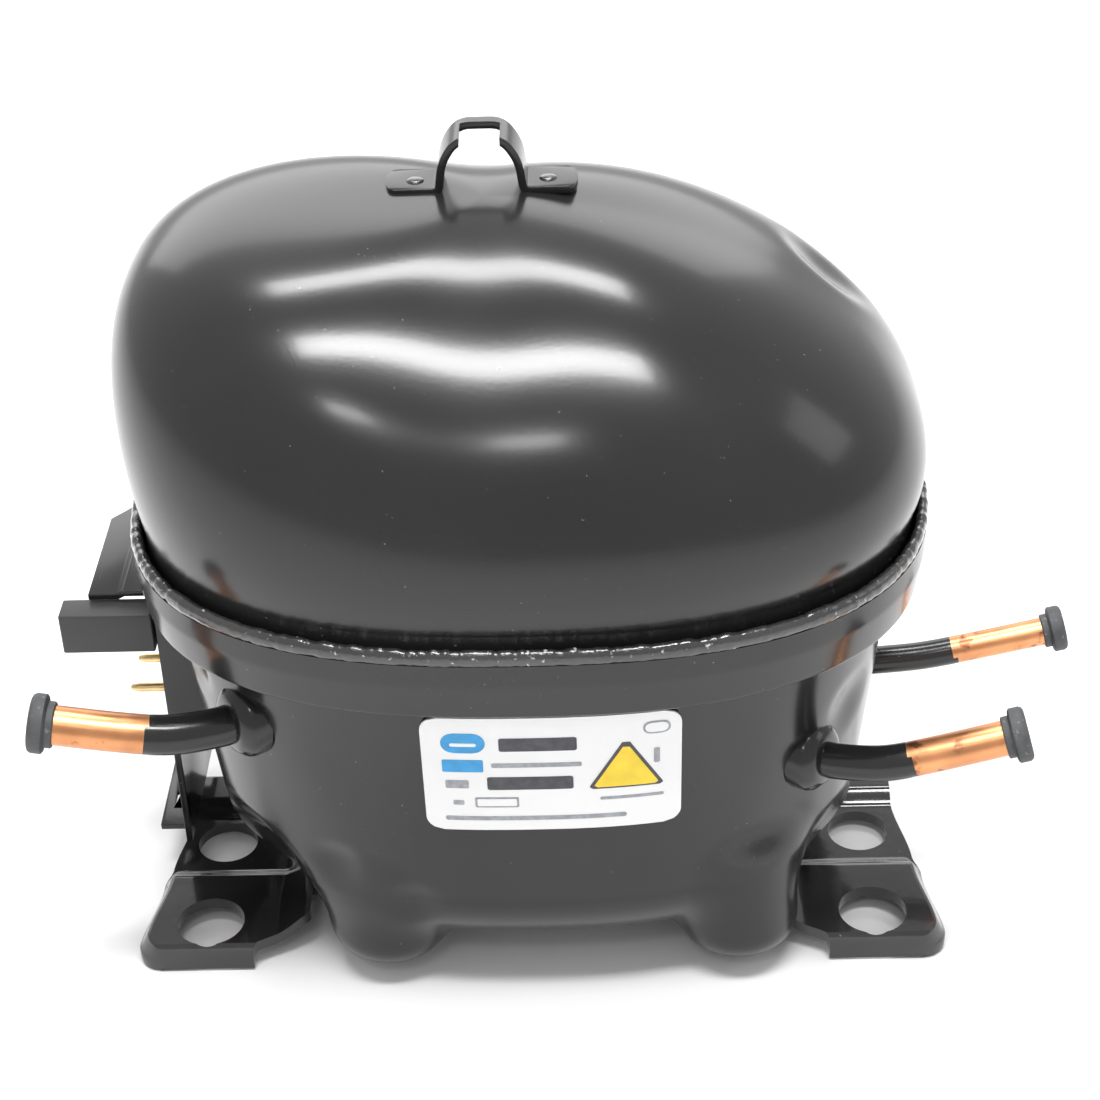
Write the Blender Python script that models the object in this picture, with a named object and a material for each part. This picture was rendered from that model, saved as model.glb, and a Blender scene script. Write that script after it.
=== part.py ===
"""Hermetic reciprocating compressor, modelled as separate named pieces.

Frame: metres, +Z up, +X to the right and +Y to the back when the nameplate faces the viewer.
The origin is on the floor under the middle of the shell.
"""
import bpy
import bmesh
from math import cos, pi, radians, sin, sqrt
from mathutils import Matrix, Vector

MM = 0.001
CLEAR = 0.3 * MM          # gap kept between two pieces that touch

# --- shell -------------------------------------------------------------------
RIM_HALF_X = 91 * MM      # upper shell at the weld, outer half length
RIM_HALF_Y = 71 * MM      # the same, half width
PLAN_POWER = 2.5          # superellipse power of the shell's plan
PLAN_STEPS = 40           # facets round the shell
WALL = 3 * MM
LIP_Z = 112 * MM          # top edge of the lower shell
BELL_DEPTH = 14 * MM      # height of the widened band that the upper shell sits in
BELL_STEP = 4.5 * MM      # how far the wall steps in below that band
BELL_CONE = 1.2 * MM      # how far the band itself draws in at its bottom
DOME_RISE = 5.5 * MM      # from the lip to where the upper shell starts to curve
DOME_HEIGHT = 70 * MM
DOME_LEAN = 8 * MM        # the crown sits this far left of the middle
DOME_POWER_LEFT = 4.5     # a high power is a boxy shoulder, a low one a sloping shoulder
DOME_POWER_RIGHT = 2.0
DOME_POWER_SIDE = 2.1
DOME_BULGE_LEFT = 2 * MM  # how far the dome swells past its base, low on its side
DOME_BULGE_RIGHT = 4.5 * MM
TAPER = 6.5 * MM          # how much the lower wall draws in on its way down
FLOOR_Z = 12 * MM         # outside of the shell's floor
FLOOR_RADIUS = 21 * MM    # rounding between wall and floor
LOBE_RADIUS = 15.5 * MM   # pressed pockets that hold the spring seats
LOBE_BOTTOM_Z = 5 * MM
LOBE_TOP_Z = 62 * MM
BEAD_SIZE = 3.4 * MM      # weld bead between the two shells
LABEL_X = (-24.5 * MM, 34 * MM)
LABEL_HEIGHT = 35 * MM
LABEL_DROP = 19 * MM      # from the lip down to the label
LABEL_GAUGE = 0.5 * MM
LABEL_CORNER = 4 * MM

# --- top bracket ---------------------------------------------------------------
BRACKET_X = -8.3 * MM
BRACKET_Y = (2.5 * MM, 14 * MM)
BRACKET_HALF_SPAN = 21.7 * MM
BRACKET_LEG_X = 8.6 * MM  # inside of the legs at the feet
BRACKET_TOP_X = 5.2 * MM
BRACKET_RISE = 12.3 * MM
BRACKET_GAUGE = 1.8 * MM
BRACKET_SINK = 1 * MM     # how far below the crown the feet are set
NOTCH_HALF = 4.5 * MM
NOTCH_BAND = 3 * MM       # strap left behind the notch

# --- base plates -------------------------------------------------------------
HOLE_PITCH_X = 167 * MM
PAD_HOLE_Y = -38 * MM
PAD_HOLE_RADIUS = 8.5 * MM
RECESS_HOLE_Y = -4 * MM
RECESS_HOLE_RADIUS = 7.8 * MM
PLATE_GAUGE = 3 * MM
PAD_HEIGHT = 8 * MM       # top of the raised pads
RECESS_HEIGHT = 5 * MM    # top of the plate between its pads
PAD_MARGIN_X = 18 * MM    # from hole centre to the plate's outer edge
PAD_MARGIN_Y = 9.5 * MM   # from hole centre to the plate's front edge
PLATE_REAR_Y = 24 * MM
RECESS_FRONT_Y = -16 * MM
RECESS_REAR_Y = 6.5 * MM
PAD_RISE = 4 * MM         # run of the step between recess and pad
PAD_DRAW = 3.2 * MM       # the outer edge draws in by this much along the front pad
WAIST_FRONT = 5 * MM      # how far it is drawn in at the front of the recess
WAIST_REAR = 8 * MM       # and behind it
TURNED_EDGE = 4 * MM      # width of the edges that turn down to the floor
FLANGE_OUTER_X = 57 * MM
FLANGE_INNER_X = 44 * MM
FLANGE_RISE = 9 * MM      # run of the slope up to the flange under the shell
POCKET_REACH = 1.5 * MM   # how far the plate's corner runs in under a pocket's rounding

# --- tubes -------------------------------------------------------------------
SUCTION_TUBE_RADIUS = 4.7 * MM
PROCESS_TUBE_RADIUS = 4.2 * MM
DISCHARGE_TUBE_RADIUS = 3.6 * MM
PLUG_LENGTH = 3.8 * MM
PLUG_OVERHANG = 2.2 * MM  # rubber plug radius beyond its tube
COLLAR_WIDTH = 4.5 * MM
COLLAR_REACH = 7 * MM    # from the wall's inner side to the collar's end

# --- pump and motor ----------------------------------------------------------
PUMP_X = 6 * MM           # crank axis
SPRING_PITCH_X = 86 * MM
SPRING_PITCH_Y = 82 * MM
CRANK_RADIUS = 7.5 * MM
PISTON_RADIUS = 10.5 * MM
PISTON_GAP = 0.3 * MM
SHAFT_RADIUS = 8 * MM
CRANKPIN_RADIUS = 4.7 * MM
CYLINDER_LENGTH = 30 * MM
SLIDE_RADIUS = 11 * MM    # outside of the tube that the slide block runs in
SLIDE_BORE = 7.6 * MM
SLIDE_HALF_LENGTH = 18 * MM
STATOR_HALF = 49 * MM
STATOR_BOTTOM_Z = 46 * MM
STACK_HEIGHT = 42 * MM
STATOR_BORE = 27.5 * MM
AIR_GAP = 0.5 * MM
WINDING_HEIGHT = 14 * MM
WINDING_OUTER = 44 * MM
WINDING_INNER = 30.5 * MM
CASTING_THICKNESS = 8 * MM
HUB_RADIUS = 13 * MM
HEAD_SIZE = 42 * MM
HEAD_DEPTH = 14 * MM
VALVE_PLATE_GAUGE = 3.5 * MM
GASKET_GAUGE = 1.2 * MM
REED_GAUGE = 0.5 * MM
SPRING_WIRE = 0.9 * MM
SPRING_MEAN_RADIUS = 7.4 * MM
SPRING_TURNS = 4
BOLT_RADIUS = 2.5 * MM
HEAD_BOLT_RADIUS = 2 * MM
LEG_RADIUS = 6.5 * MM
SHAFT_BOTTOM_Z = 30 * MM
HUB_DEPTH = 14 * MM       # how far the bearing hub reaches into the rotor
GALLERY_RADIUS = 2 * MM
TOP_CLEARANCE = 1.3 * MM  # piston crown to valve face at top dead centre

# --- terminals ---------------------------------------------------------------
TERMINAL_Z = 62 * MM
TERMINAL_CUP_RADIUS = 12 * MM
PIN_RADIUS = 1.15 * MM
PIN_CIRCLE = 7.2 * MM
PIN_REACH = 11.6 * MM     # how far the pins pass the fence's inner face
FENCE_INSET = 0.6 * MM    # the fence's inner face sits this far inside the rim's end
FENCE_GAUGE = 1.6 * MM
FENCE_FRONT_Y = -14 * MM
FENCE_REAR_Y = 38 * MM
FENCE_DROP = 22.5 * MM     # from the lip down to the fence's top tab
FENCE_BOTTOM_Z = 14 * MM
TAB_FRONT_Y = -9 * MM       # front edge of the two tabs
TAB_REAR_Y = 24 * MM
BLOCK_LENGTH = 24.5 * MM
BLOCK_HEIGHT = 11 * MM
BLOCK_DEPTH = 7.5 * MM

# --- worked out from the sizes above -----------------------------------------
DOME_BASE_Z = LIP_Z + DOME_RISE
LABEL_Z = (LIP_Z - LABEL_DROP - LABEL_HEIGHT, LIP_Z - LABEL_DROP)
FENCE_X = FENCE_INSET - RIM_HALF_X
PIN_TIP_X = FENCE_X - PIN_REACH
FENCE_TOP_Z = LIP_Z - FENCE_DROP
BELL_Z = LIP_Z - BELL_DEPTH
SKIRT_Z = BELL_Z + CLEAR
HALF_PITCH_X = HOLE_PITCH_X / 2
STATOR_TOP_Z = STATOR_BOTTOM_Z + STACK_HEIGHT
HUB_BOTTOM_Z = STATOR_TOP_Z - HUB_DEPTH
CASTING_Z = STATOR_TOP_Z + WINDING_HEIGHT + 2 * MM
CASTING_TOP_Z = CASTING_Z + CASTING_THICKNESS
CYLINDER_Z = CASTING_TOP_Z + HEAD_SIZE / 2
CYLINDER_BACK_X = PUMP_X - CRANK_RADIUS - SLIDE_RADIUS - 0.8 * MM
VALVE_FACE_X = CYLINDER_BACK_X - CYLINDER_LENGTH
CYLINDER_BORE = PISTON_RADIUS + PISTON_GAP
WEB_Z = CASTING_TOP_Z + 1 * MM
WEB_TOP_Z = WEB_Z + 6 * MM
LOBE_FLOOR_Z = LOBE_BOTTOM_Z + WALL
SPRING_POINTS = [(PUMP_X + sx * SPRING_PITCH_X / 2, sy * SPRING_PITCH_Y / 2)
                 for sy in (-1, 1) for sx in (-1, 1)]
SPRING_LOW_Z = LOBE_FLOOR_Z + CLEAR + 4 * MM + CLEAR
SPRING_HIGH_Z = STATOR_BOTTOM_Z - CLEAR - 3 * MM - CLEAR


def clear_scene():
    for item in list(bpy.data.objects):
        bpy.data.objects.remove(item, do_unlink=True)


def material(name, colour, roughness, metallic):
    made = bpy.data.materials.new(name)
    made.use_nodes = True
    shader = made.node_tree.nodes["Principled BSDF"]
    shader.inputs["Base Color"].default_value = (*colour, 1)
    shader.inputs["Roughness"].default_value = roughness
    shader.inputs["Metallic"].default_value = metallic
    return made


clear_scene()
BLACK_PAINT = material("black_paint", (0.03, 0.03, 0.032), 0.2, 0.0)
WELD = material("painted_weld", (0.06, 0.06, 0.06), 0.3, 0.3)
COPPER = material("copper", (0.78, 0.42, 0.2), 0.3, 1.0)
RUBBER = material("rubber", (0.05, 0.05, 0.05), 0.8, 0.0)
PAPER = material("label", (0.9, 0.9, 0.88), 0.5, 0.0)
PLASTIC = material("black_plastic", (0.05, 0.05, 0.05), 0.6, 0.0)
GLASS = material("terminal_glass", (0.1, 0.16, 0.14), 0.1, 0.0)
BRASS = material("pin_plating", (0.75, 0.62, 0.35), 0.3, 1.0)
STEEL = material("steel", (0.55, 0.55, 0.56), 0.35, 1.0)
IRON = material("cast_iron", (0.22, 0.22, 0.22), 0.6, 0.8)
LAMINATION = material("lamination", (0.3, 0.3, 0.32), 0.5, 0.9)
WINDING = material("winding", (0.6, 0.25, 0.1), 0.4, 0.6)
POLYMER = material("muffler_polymer", (0.75, 0.72, 0.62), 0.5, 0.0)
ALUMINIUM = material("aluminium", (0.7, 0.71, 0.72), 0.4, 0.9)


# ----------------------------------------------------------------- building --
def place(name, mesh, finish, smooth=True, parent=None):
    piece = bpy.data.objects.new(name, mesh)
    bpy.context.scene.collection.objects.link(piece)
    mesh.materials.append(finish)
    if smooth:
        mesh.shade_smooth()
        mesh.set_sharp_from_angle(angle=radians(35))
    if parent:
        piece.parent = parent
        piece.matrix_parent_inverse = parent.matrix_world.inverted()
    return piece


def mesh_of(name, points, faces):
    mesh = bpy.data.meshes.new(name)
    mesh.from_pydata([tuple(p) for p in points], [], faces)
    work = bmesh.new()
    work.from_mesh(mesh)
    bmesh.ops.recalc_face_normals(work, faces=work.faces)
    work.to_mesh(mesh)
    work.free()
    return mesh


def loft(name, rings, finish, **extra):
    """A closed solid through rings of equal length, with flat ends."""
    count = len(rings[0])
    points = [p for ring in rings for p in ring]
    faces = [list(range(count)), list(range(len(points) - count, len(points)))]
    for level in range(len(rings) - 1):
        for i in range(count):
            j = (i + 1) % count
            low = level * count
            faces.append([low + i, low + j, low + count + j, low + count + i])
    return place(name, mesh_of(name, points, faces), finish, **extra)


def closed_loft(name, rings, finish, **extra):
    """A ring-shaped solid: the last section joins the first."""
    count = len(rings[0])
    total = len(rings) * count
    faces = []
    for level in range(len(rings)):
        for i in range(count):
            j = (i + 1) % count
            low = level * count
            faces.append([low + i, low + j, (low + count + j) % total, (low + count + i) % total])
    points = [p for ring in rings for p in ring]
    return place(name, mesh_of(name, points, faces), finish, **extra)


def turned(name, profile, finish, centre=(0, 0, 0), axis=(0, 0, 1), steps=24, **extra):
    """A solid turned about axis. The profile is a closed (radius, height) outline off the axis,
    or one that starts and ends at radius 0."""
    frame = Vector((0, 0, 1)).rotation_difference(Vector(axis)).to_matrix().to_4x4()
    frame = Matrix.Translation(centre) @ frame
    on_axis = profile[0][0] == 0
    inner = profile[1:-1] if on_axis else profile
    rings = []
    for radius, height in inner:
        ring = [frame @ Vector((radius * cos(2 * pi * k / steps), radius * sin(2 * pi * k / steps), height))
                for k in range(steps)]
        rings.append(ring)
    if on_axis:
        return loft(name, rings, finish, **extra)
    return closed_loft(name, rings, finish, **extra)


def rod(name, radius, low, high, finish, centre=(0, 0, 0), axis=(0, 0, 1), steps=24, **extra):
    profile = [(0, low), (radius, low), (radius, high), (0, high)]
    return turned(name, profile, finish, centre, axis, steps, **extra)


def prism(name, outline, low, high, finish, **extra):
    rings = [[(x, y, z) for x, y in outline] for z in (low, high)]
    return loft(name, rings, finish, smooth=False, **extra)


def box(name, low, high, finish, **extra):
    corners = [(low[0], low[1]), (high[0], low[1]), (high[0], high[1]), (low[0], high[1])]
    return prism(name, corners, low[2], high[2], finish, **extra)


def combine(piece, other, operation):
    """Cut, join or intersect with a helper solid that is itself left out of the model."""
    step = piece.modifiers.new(operation.lower(), "BOOLEAN")
    step.operation = operation
    step.object = other
    step.solver = "EXACT"
    other.hide_render = True
    other.display_type = "WIRE"
    return piece


def cut(piece, *cutters):
    for cutter in cutters:
        combine(piece, cutter, "DIFFERENCE")
    return piece


def join(piece, *others):
    for other in others:
        combine(piece, other, "UNION")
    return piece


def rounded_outline(corners, radius, arc_steps=4):
    """Replace each corner of a polygon with an arc."""
    outline = []
    count = len(corners)
    for i, corner in enumerate(corners):
        here = Vector(corner)
        before = (Vector(corners[i - 1]) - here).normalized()
        after = (Vector(corners[(i + 1) % count]) - here).normalized()
        half_angle = before.angle(after) / 2
        reach = radius / (sin(half_angle) / cos(half_angle))
        start = here + before * reach
        end = here + after * reach
        middle = here + (before + after).normalized() * radius / sin(half_angle)
        first = start - middle
        sweep = first.angle_signed(end - middle)
        for k in range(arc_steps + 1):
            turn = Matrix.Rotation(-sweep * k / arc_steps, 2)
            outline.append(tuple(middle + turn @ first))
    return outline


def smooth_path(points, steps=4):
    """Points along a smooth curve through the given ones."""
    anchors = [Vector(p) for p in points]
    ends = [anchors[0] * 2 - anchors[1]] + anchors + [anchors[-1] * 2 - anchors[-2]]
    path = []
    for i in range(1, len(ends) - 2):
        a, b, c, d = ends[i - 1:i + 3]
        for k in range(steps):
            t = k / steps
            path.append(0.5 * (2 * b + (c - a) * t + (2 * a - 5 * b + 4 * c - d) * t ** 2
                               + (3 * b - a - 3 * c + d) * t ** 3))
    path.append(anchors[-1])
    return path


def bent_rod(name, points, radius, finish, resolution=2, parent=None):
    """A round rod or tube swept along a path, with flat ends."""
    curve = bpy.data.curves.new(name, "CURVE")
    curve.dimensions = "3D"
    curve.bevel_depth = radius
    curve.bevel_resolution = resolution
    curve.use_fill_caps = True
    spline = curve.splines.new("POLY")
    spline.points.add(len(points) - 1)
    for point, place_at in zip(spline.points, points):
        point.co = (*place_at, 1)
    curve.materials.append(finish)
    piece = bpy.data.objects.new(name, curve)
    bpy.context.scene.collection.objects.link(piece)
    return piece


# -------------------------------------------------------------------- shell --
def plan_point(angle, half_x, half_y):
    """A point of the shell's plan outline, a superellipse."""
    reach = (abs(cos(angle)) / half_x) ** PLAN_POWER + (abs(sin(angle)) / half_y) ** PLAN_POWER
    radius = reach ** (-1 / PLAN_POWER)
    return radius * cos(angle), radius * sin(angle)


def plan_angles(steps=PLAN_STEPS):
    return [2 * pi * k / steps for k in range(steps)]


def plan_ring(offset, z, steps=PLAN_STEPS, shrink=1.0):
    ring = []
    for angle in plan_angles(steps):
        x, y = plan_point(angle, RIM_HALF_X + offset, RIM_HALF_Y + offset)
        ring.append((x * shrink, y * shrink, z))
    return ring


def dome_power(angle):
    """Boxy to the left, sloping to the right, and between the two at front and back."""
    toward_right = (1 + cos(angle)) / 2
    sideways = sin(angle) ** 2
    along = DOME_POWER_LEFT + (DOME_POWER_RIGHT - DOME_POWER_LEFT) * toward_right
    return along + (DOME_POWER_SIDE - along) * sideways


def dome_bulge(angle, level):
    """The swell of the dome's side, greatest at a third of its height."""
    toward_right = (1 + cos(angle)) / 2
    most = DOME_BULGE_LEFT + (DOME_BULGE_RIGHT - DOME_BULGE_LEFT) * toward_right
    return most * 6.75 * level * (1 - level) ** 2


def dome_ring(level, offset):
    """One ring of the dome. level runs from 0 at its base to 1 at the crown."""
    ring = []
    for angle in plan_angles():
        grow = offset + dome_bulge(angle, level)
        x, y = plan_point(angle, RIM_HALF_X + grow, RIM_HALF_Y + grow)
        power = dome_power(angle)
        shrink = (1 - level ** power) ** (1 / power)
        ring.append((x * shrink - DOME_LEAN * level ** 2, y * shrink,
                     DOME_BASE_Z + (DOME_HEIGHT + offset) * level))
    return ring


DOME_LEVELS = [sin(radians(a)) for a in (0, 15, 29, 41, 52, 62, 70, 77, 83, 87)]


def dome_rings(offset, skirt_z):
    return [plan_ring(offset, skirt_z)] + [dome_ring(level, offset) for level in DOME_LEVELS]


def shell_solid(name, outer, inner, finish):
    """A thin shell between two stacks of rings, open at the first ring of each."""
    count = len(outer[0])
    points = [p for ring in outer + inner for p in ring]
    inner_start = len(outer) * count
    faces = []
    for stack_start, stack in ((0, outer), (inner_start, inner)):
        for level in range(len(stack) - 1):
            for i in range(count):
                j = (i + 1) % count
                low = stack_start + level * count
                faces.append([low + i, low + j, low + count + j, low + count + i])
        last = stack_start + (len(stack) - 1) * count
        faces.append(list(range(last, last + count)))
    for i in range(count):
        j = (i + 1) % count
        faces.append([i, j, inner_start + j, inner_start + i])
    return place(name, mesh_of(name, points, faces), finish)


def make_upper_shell():
    return shell_solid("upper_shell", dome_rings(0, SKIRT_Z), dome_rings(-WALL, SKIRT_Z), BLACK_PAINT)


WALL_TOP_OFFSET = CLEAR - BELL_STEP
WALL_TOP_Z = BELL_Z - 4.5 * MM
WALL_FOOT_Z = FLOOR_Z + FLOOR_RADIUS


def wall_offset(z):
    """Offset of the lower shell's outer wall from the rim's plan, at a height on its taper."""
    return WALL_TOP_OFFSET - TAPER * (WALL_TOP_Z - z) / (WALL_TOP_Z - WALL_FOOT_Z)


def bowl_rings(grow):
    """The lower shell's outside, or its inside with grow = -WALL, from the wall's top down."""
    rings = [plan_ring(wall_offset(z) + grow, z) for z in (WALL_TOP_Z, WALL_TOP_Z - 25 * MM, WALL_FOOT_Z)]
    radius = FLOOR_RADIUS + grow
    foot = wall_offset(WALL_FOOT_Z)
    for degrees in (22, 45, 67, 90):
        turn = radians(degrees)
        rings.append(plan_ring(foot - FLOOR_RADIUS + radius * cos(turn), WALL_FOOT_Z - radius * sin(turn)))
    return rings


def lobe(name, x, y, grow):
    """A pressed pocket with a rounded bottom."""
    radius = LOBE_RADIUS + grow
    bottom = LOBE_BOTTOM_Z - grow
    fillet = 9 * MM + grow
    profile = [(0, bottom), (radius - fillet, bottom)]
    for degrees in (30, 60, 90):
        turn = radians(degrees)
        profile.append((radius - fillet + fillet * sin(turn), bottom + fillet - fillet * cos(turn)))
    profile += [(radius, LOBE_TOP_Z - 20 * MM), (radius * 0.6, LOBE_TOP_Z), (0, LOBE_TOP_Z)]
    return turned(name, profile, BLACK_PAINT, centre=(x, y, 0), steps=20)


def bowl_solid(name, grow, top_rings):
    solid = loft(name, top_rings + bowl_rings(grow), BLACK_PAINT)
    for k, (x, y) in enumerate(SPRING_POINTS):
        join(solid, lobe(f"{name}_lobe_{k}", x, y, grow))
    return solid


def bell_rings(grow):
    """The outside of the widened band, from its lip down."""
    outer = CLEAR + WALL + grow
    return [plan_ring(outer, LIP_Z), plan_ring(outer, BELL_Z + 5 * MM), plan_ring(outer - BELL_CONE, BELL_Z)]


def make_lower_shell(hole_cutters):
    outer_top = bell_rings(0)
    inner_top = [plan_ring(CLEAR, z) for z in (LIP_Z + 2 * MM, BELL_Z)] + [plan_ring(-WALL, BELL_Z)]
    shell = bowl_solid("lower_shell", 0, outer_top)
    cavity = bowl_solid("lower_cavity", -WALL, inner_top)
    return cut(shell, cavity, *hole_cutters)


def lower_envelope(name, grow):
    """The lower shell's outside as a solid, for trimming what is fitted to it."""
    return bowl_solid(name, grow, bell_rings(grow))


def make_weld_bead():
    """A rounded fillet of weld on the lower shell's lip, around the upper shell."""
    low = LIP_Z + CLEAR
    inner = CLEAR
    section = [(inner, low), (inner + BEAD_SIZE * 0.85, low), (inner + BEAD_SIZE, low + BEAD_SIZE * 0.4),
               (inner + BEAD_SIZE * 0.6, low + BEAD_SIZE * 0.9), (inner, low + BEAD_SIZE * 1.1)]
    return closed_loft("weld_bead", [plan_ring(offset, z) for offset, z in section], WELD)


def wall_front_y(x, z, grow):
    """The y of the lower shell's front wall at x and z."""
    half_x = RIM_HALF_X + wall_offset(z) + grow
    half_y = RIM_HALF_Y + wall_offset(z) + grow
    return -half_y * (1 - (abs(x) / half_x) ** PLAN_POWER) ** (1 / PLAN_POWER)


def make_nameplate():
    """A thin rounded sticker that follows the front wall."""
    columns = 12
    heights = [LABEL_Z[0] + (LABEL_Z[1] - LABEL_Z[0]) * k / 2 for k in range(3)]
    rings = []
    for k in range(columns + 1):
        x = LABEL_X[0] + (LABEL_X[1] - LABEL_X[0]) * k / columns
        outside = [(x, wall_front_y(x, z, CLEAR + LABEL_GAUGE), z) for z in heights]
        inside = [(x, wall_front_y(x, z, CLEAR), z) for z in reversed(heights)]
        rings.append(outside + inside)
    plate = loft("nameplate", rings, PAPER)
    corners = [(x, z) for x, z in ((LABEL_X[0], LABEL_Z[0]), (LABEL_X[1], LABEL_Z[0]),
                                   (LABEL_X[1], LABEL_Z[1]), (LABEL_X[0], LABEL_Z[1]))]
    outline = rounded_outline(corners, LABEL_CORNER)
    reach = RIM_HALF_Y + 20 * MM
    trim = loft("nameplate_trim", [[(x, y, z) for x, z in outline] for y in (-reach, 0)], PAPER)
    return combine(plate, trim, "INTERSECT")


# -------------------------------------------------------------- base plates --
def blend_step(value, start, end):
    """0 before start, 1 after end, and an even slope between the two."""
    return min(1, max(0, (value - start) / (end - start)))


PLATE_FRONT_Y = PAD_HOLE_Y - PAD_MARGIN_Y
PLATE_OUTER_X = HALF_PITCH_X + PAD_MARGIN_X
LIP_DROP = PAD_HEIGHT - PLATE_GAUGE       # the pads' edges turn down to the floor
FRONT_PAD_Y = RECESS_FRONT_Y - PAD_RISE
REAR_PAD_Y = RECESS_REAR_Y + PAD_RISE


def plate_height(x, y):
    """Top of a base plate, for x measured outwards from the middle."""
    front_pad = blend_step(-y, -RECESS_FRONT_Y, -FRONT_PAD_Y)
    pad = max(front_pad, blend_step(y, RECESS_REAR_Y, REAR_PAD_Y))
    outer = RECESS_HEIGHT + (PAD_HEIGHT - RECESS_HEIGHT) * pad
    turned_edge = max(blend_step(-y, -PLATE_FRONT_Y - TURNED_EDGE, -PLATE_FRONT_Y),
                      blend_step(y, PLATE_REAR_Y - TURNED_EDGE, PLATE_REAR_Y),
                      blend_step(x, PLATE_OUTER_X - TURNED_EDGE, PLATE_OUTER_X) * front_pad)
    outer -= LIP_DROP * turned_edge
    flange_top = FLOOR_Z - CLEAR
    rise = blend_step(x, FLANGE_OUTER_X + FLANGE_RISE, FLANGE_OUTER_X)
    return outer + (flange_top - outer) * rise


def plate_outline(side):
    """Plan of one base plate, for x measured outwards, that reaches under the front pocket's rounding."""
    pocket_x = PUMP_X + side * SPRING_PITCH_X / 2
    beside = side * pocket_x + LOBE_RADIUS - POCKET_REACH
    pocket_inner_y = LOBE_RADIUS + 1 * MM - SPRING_PITCH_Y / 2
    return [(PLATE_OUTER_X - WAIST_REAR, PLATE_REAR_Y), (PLATE_OUTER_X - WAIST_REAR, RECESS_REAR_Y),
            (PLATE_OUTER_X - WAIST_FRONT, RECESS_FRONT_Y), (PLATE_OUTER_X - PAD_DRAW, FRONT_PAD_Y),
            (PLATE_OUTER_X, PLATE_FRONT_Y + 5 * MM), (PLATE_OUTER_X - 5 * MM, PLATE_FRONT_Y),
            (HALF_PITCH_X - PAD_HOLE_RADIUS - 3 * MM, PLATE_FRONT_Y), (beside, -SPRING_PITCH_Y / 2),
            (beside, pocket_inner_y), (FLANGE_INNER_X, pocket_inner_y), (FLANGE_INNER_X, PLATE_REAR_Y)]


def make_base_plate(name, side):
    lines_y = [PLATE_FRONT_Y, PLATE_FRONT_Y + TURNED_EDGE, FRONT_PAD_Y, RECESS_FRONT_Y, RECESS_REAR_Y,
               REAR_PAD_Y, PLATE_REAR_Y - TURNED_EDGE, PLATE_REAR_Y]
    lines_x = [PLATE_OUTER_X, PLATE_OUTER_X - TURNED_EDGE, FLANGE_OUTER_X + FLANGE_RISE, FLANGE_OUTER_X,
               FLANGE_INNER_X - 1 * MM]
    rows = len(lines_y)
    points = []
    for x in lines_x:
        for y in lines_y:
            points.append((side * x, y, plate_height(x, y)))
    top_count = len(points)
    points += [(x, y, z - PLATE_GAUGE) for x, y, z in points]
    faces = []
    for i in range(len(lines_x) - 1):
        for j in range(rows - 1):
            a = i * rows + j
            quad = [a, a + 1, a + rows + 1, a + rows]
            faces.append(quad)
            faces.append([v + top_count for v in quad])
    rim = [i * rows for i in range(len(lines_x))]
    rim += [(len(lines_x) - 1) * rows + j for j in range(1, rows)]
    rim += [i * rows + rows - 1 for i in range(len(lines_x) - 2, -1, -1)]
    rim += [j for j in range(rows - 2, 0, -1)]
    for k, a in enumerate(rim):
        b = rim[(k + 1) % len(rim)]
        faces.append([a, b, b + top_count, a + top_count])
    plate = place(name, mesh_of(name, points, faces), BLACK_PAINT, smooth=False)
    corners = plate_outline(side)
    outline = [(side * x, y) for x, y in corners]
    blank = prism(f"{name}_blank", rounded_outline(outline, 2 * MM, 2), -5 * MM, 30 * MM, BLACK_PAINT)
    combine(plate, blank, "INTERSECT")
    for k, (y, radius) in enumerate(((PAD_HOLE_Y, PAD_HOLE_RADIUS), (RECESS_HOLE_Y, RECESS_HOLE_RADIUS))):
        cut(plate, rod(f"{name}_hole_{k}", radius, -5 * MM, 30 * MM, BLACK_PAINT,
                       centre=(side * HALF_PITCH_X, y, 0)))
    for k, (x, y) in enumerate(SPRING_POINTS):
        if x * side > 0:
            cut(plate, lobe(f"{name}_pocket_{k}", x, y, CLEAR))
    return plate


# -------------------------------------------------------------------- tubes --
def make_connection(name, radius, path, envelope):
    """A tube stub through the shell, its welded collar and the rubber plug on its end.
    The path starts inside the wall and its first leg is straight."""
    route = smooth_path(path)
    bent_rod(f"{name}_tube", route, radius, COPPER, resolution=3)
    start = Vector(path[0])
    way = (Vector(path[1]) - start).normalized()
    collar_profile = [(radius + CLEAR, 0), (radius + COLLAR_WIDTH, 0),
                      (radius + COLLAR_WIDTH, COLLAR_REACH - 3 * MM),
                      (radius + 1.5 * MM, COLLAR_REACH), (radius + CLEAR, COLLAR_REACH)]
    collar = turned(f"{name}_tube_collar", collar_profile, BLACK_PAINT, centre=start, axis=way, steps=20)
    cut(collar, envelope)
    end = route[-1]
    out = (route[-1] - route[-2]).normalized()
    cap = radius + PLUG_OVERHANG
    grip = radius + CLEAR
    plug_profile = [(0, CLEAR), (grip, CLEAR), (grip, -PLUG_LENGTH * 0.4), (cap, -PLUG_LENGTH * 0.4),
                    (cap, PLUG_LENGTH * 0.45), (cap - 1 * MM, PLUG_LENGTH * 0.6), (0, PLUG_LENGTH * 0.6)]
    turned(f"{name}_tube_plug", plug_profile, RUBBER, centre=end, axis=out, steps=20)
    return rod(
        f"{name}_hole", radius + CLEAR, -12 * MM, 16 * MM, BLACK_PAINT, centre=start, axis=way, steps=20
    )


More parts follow.
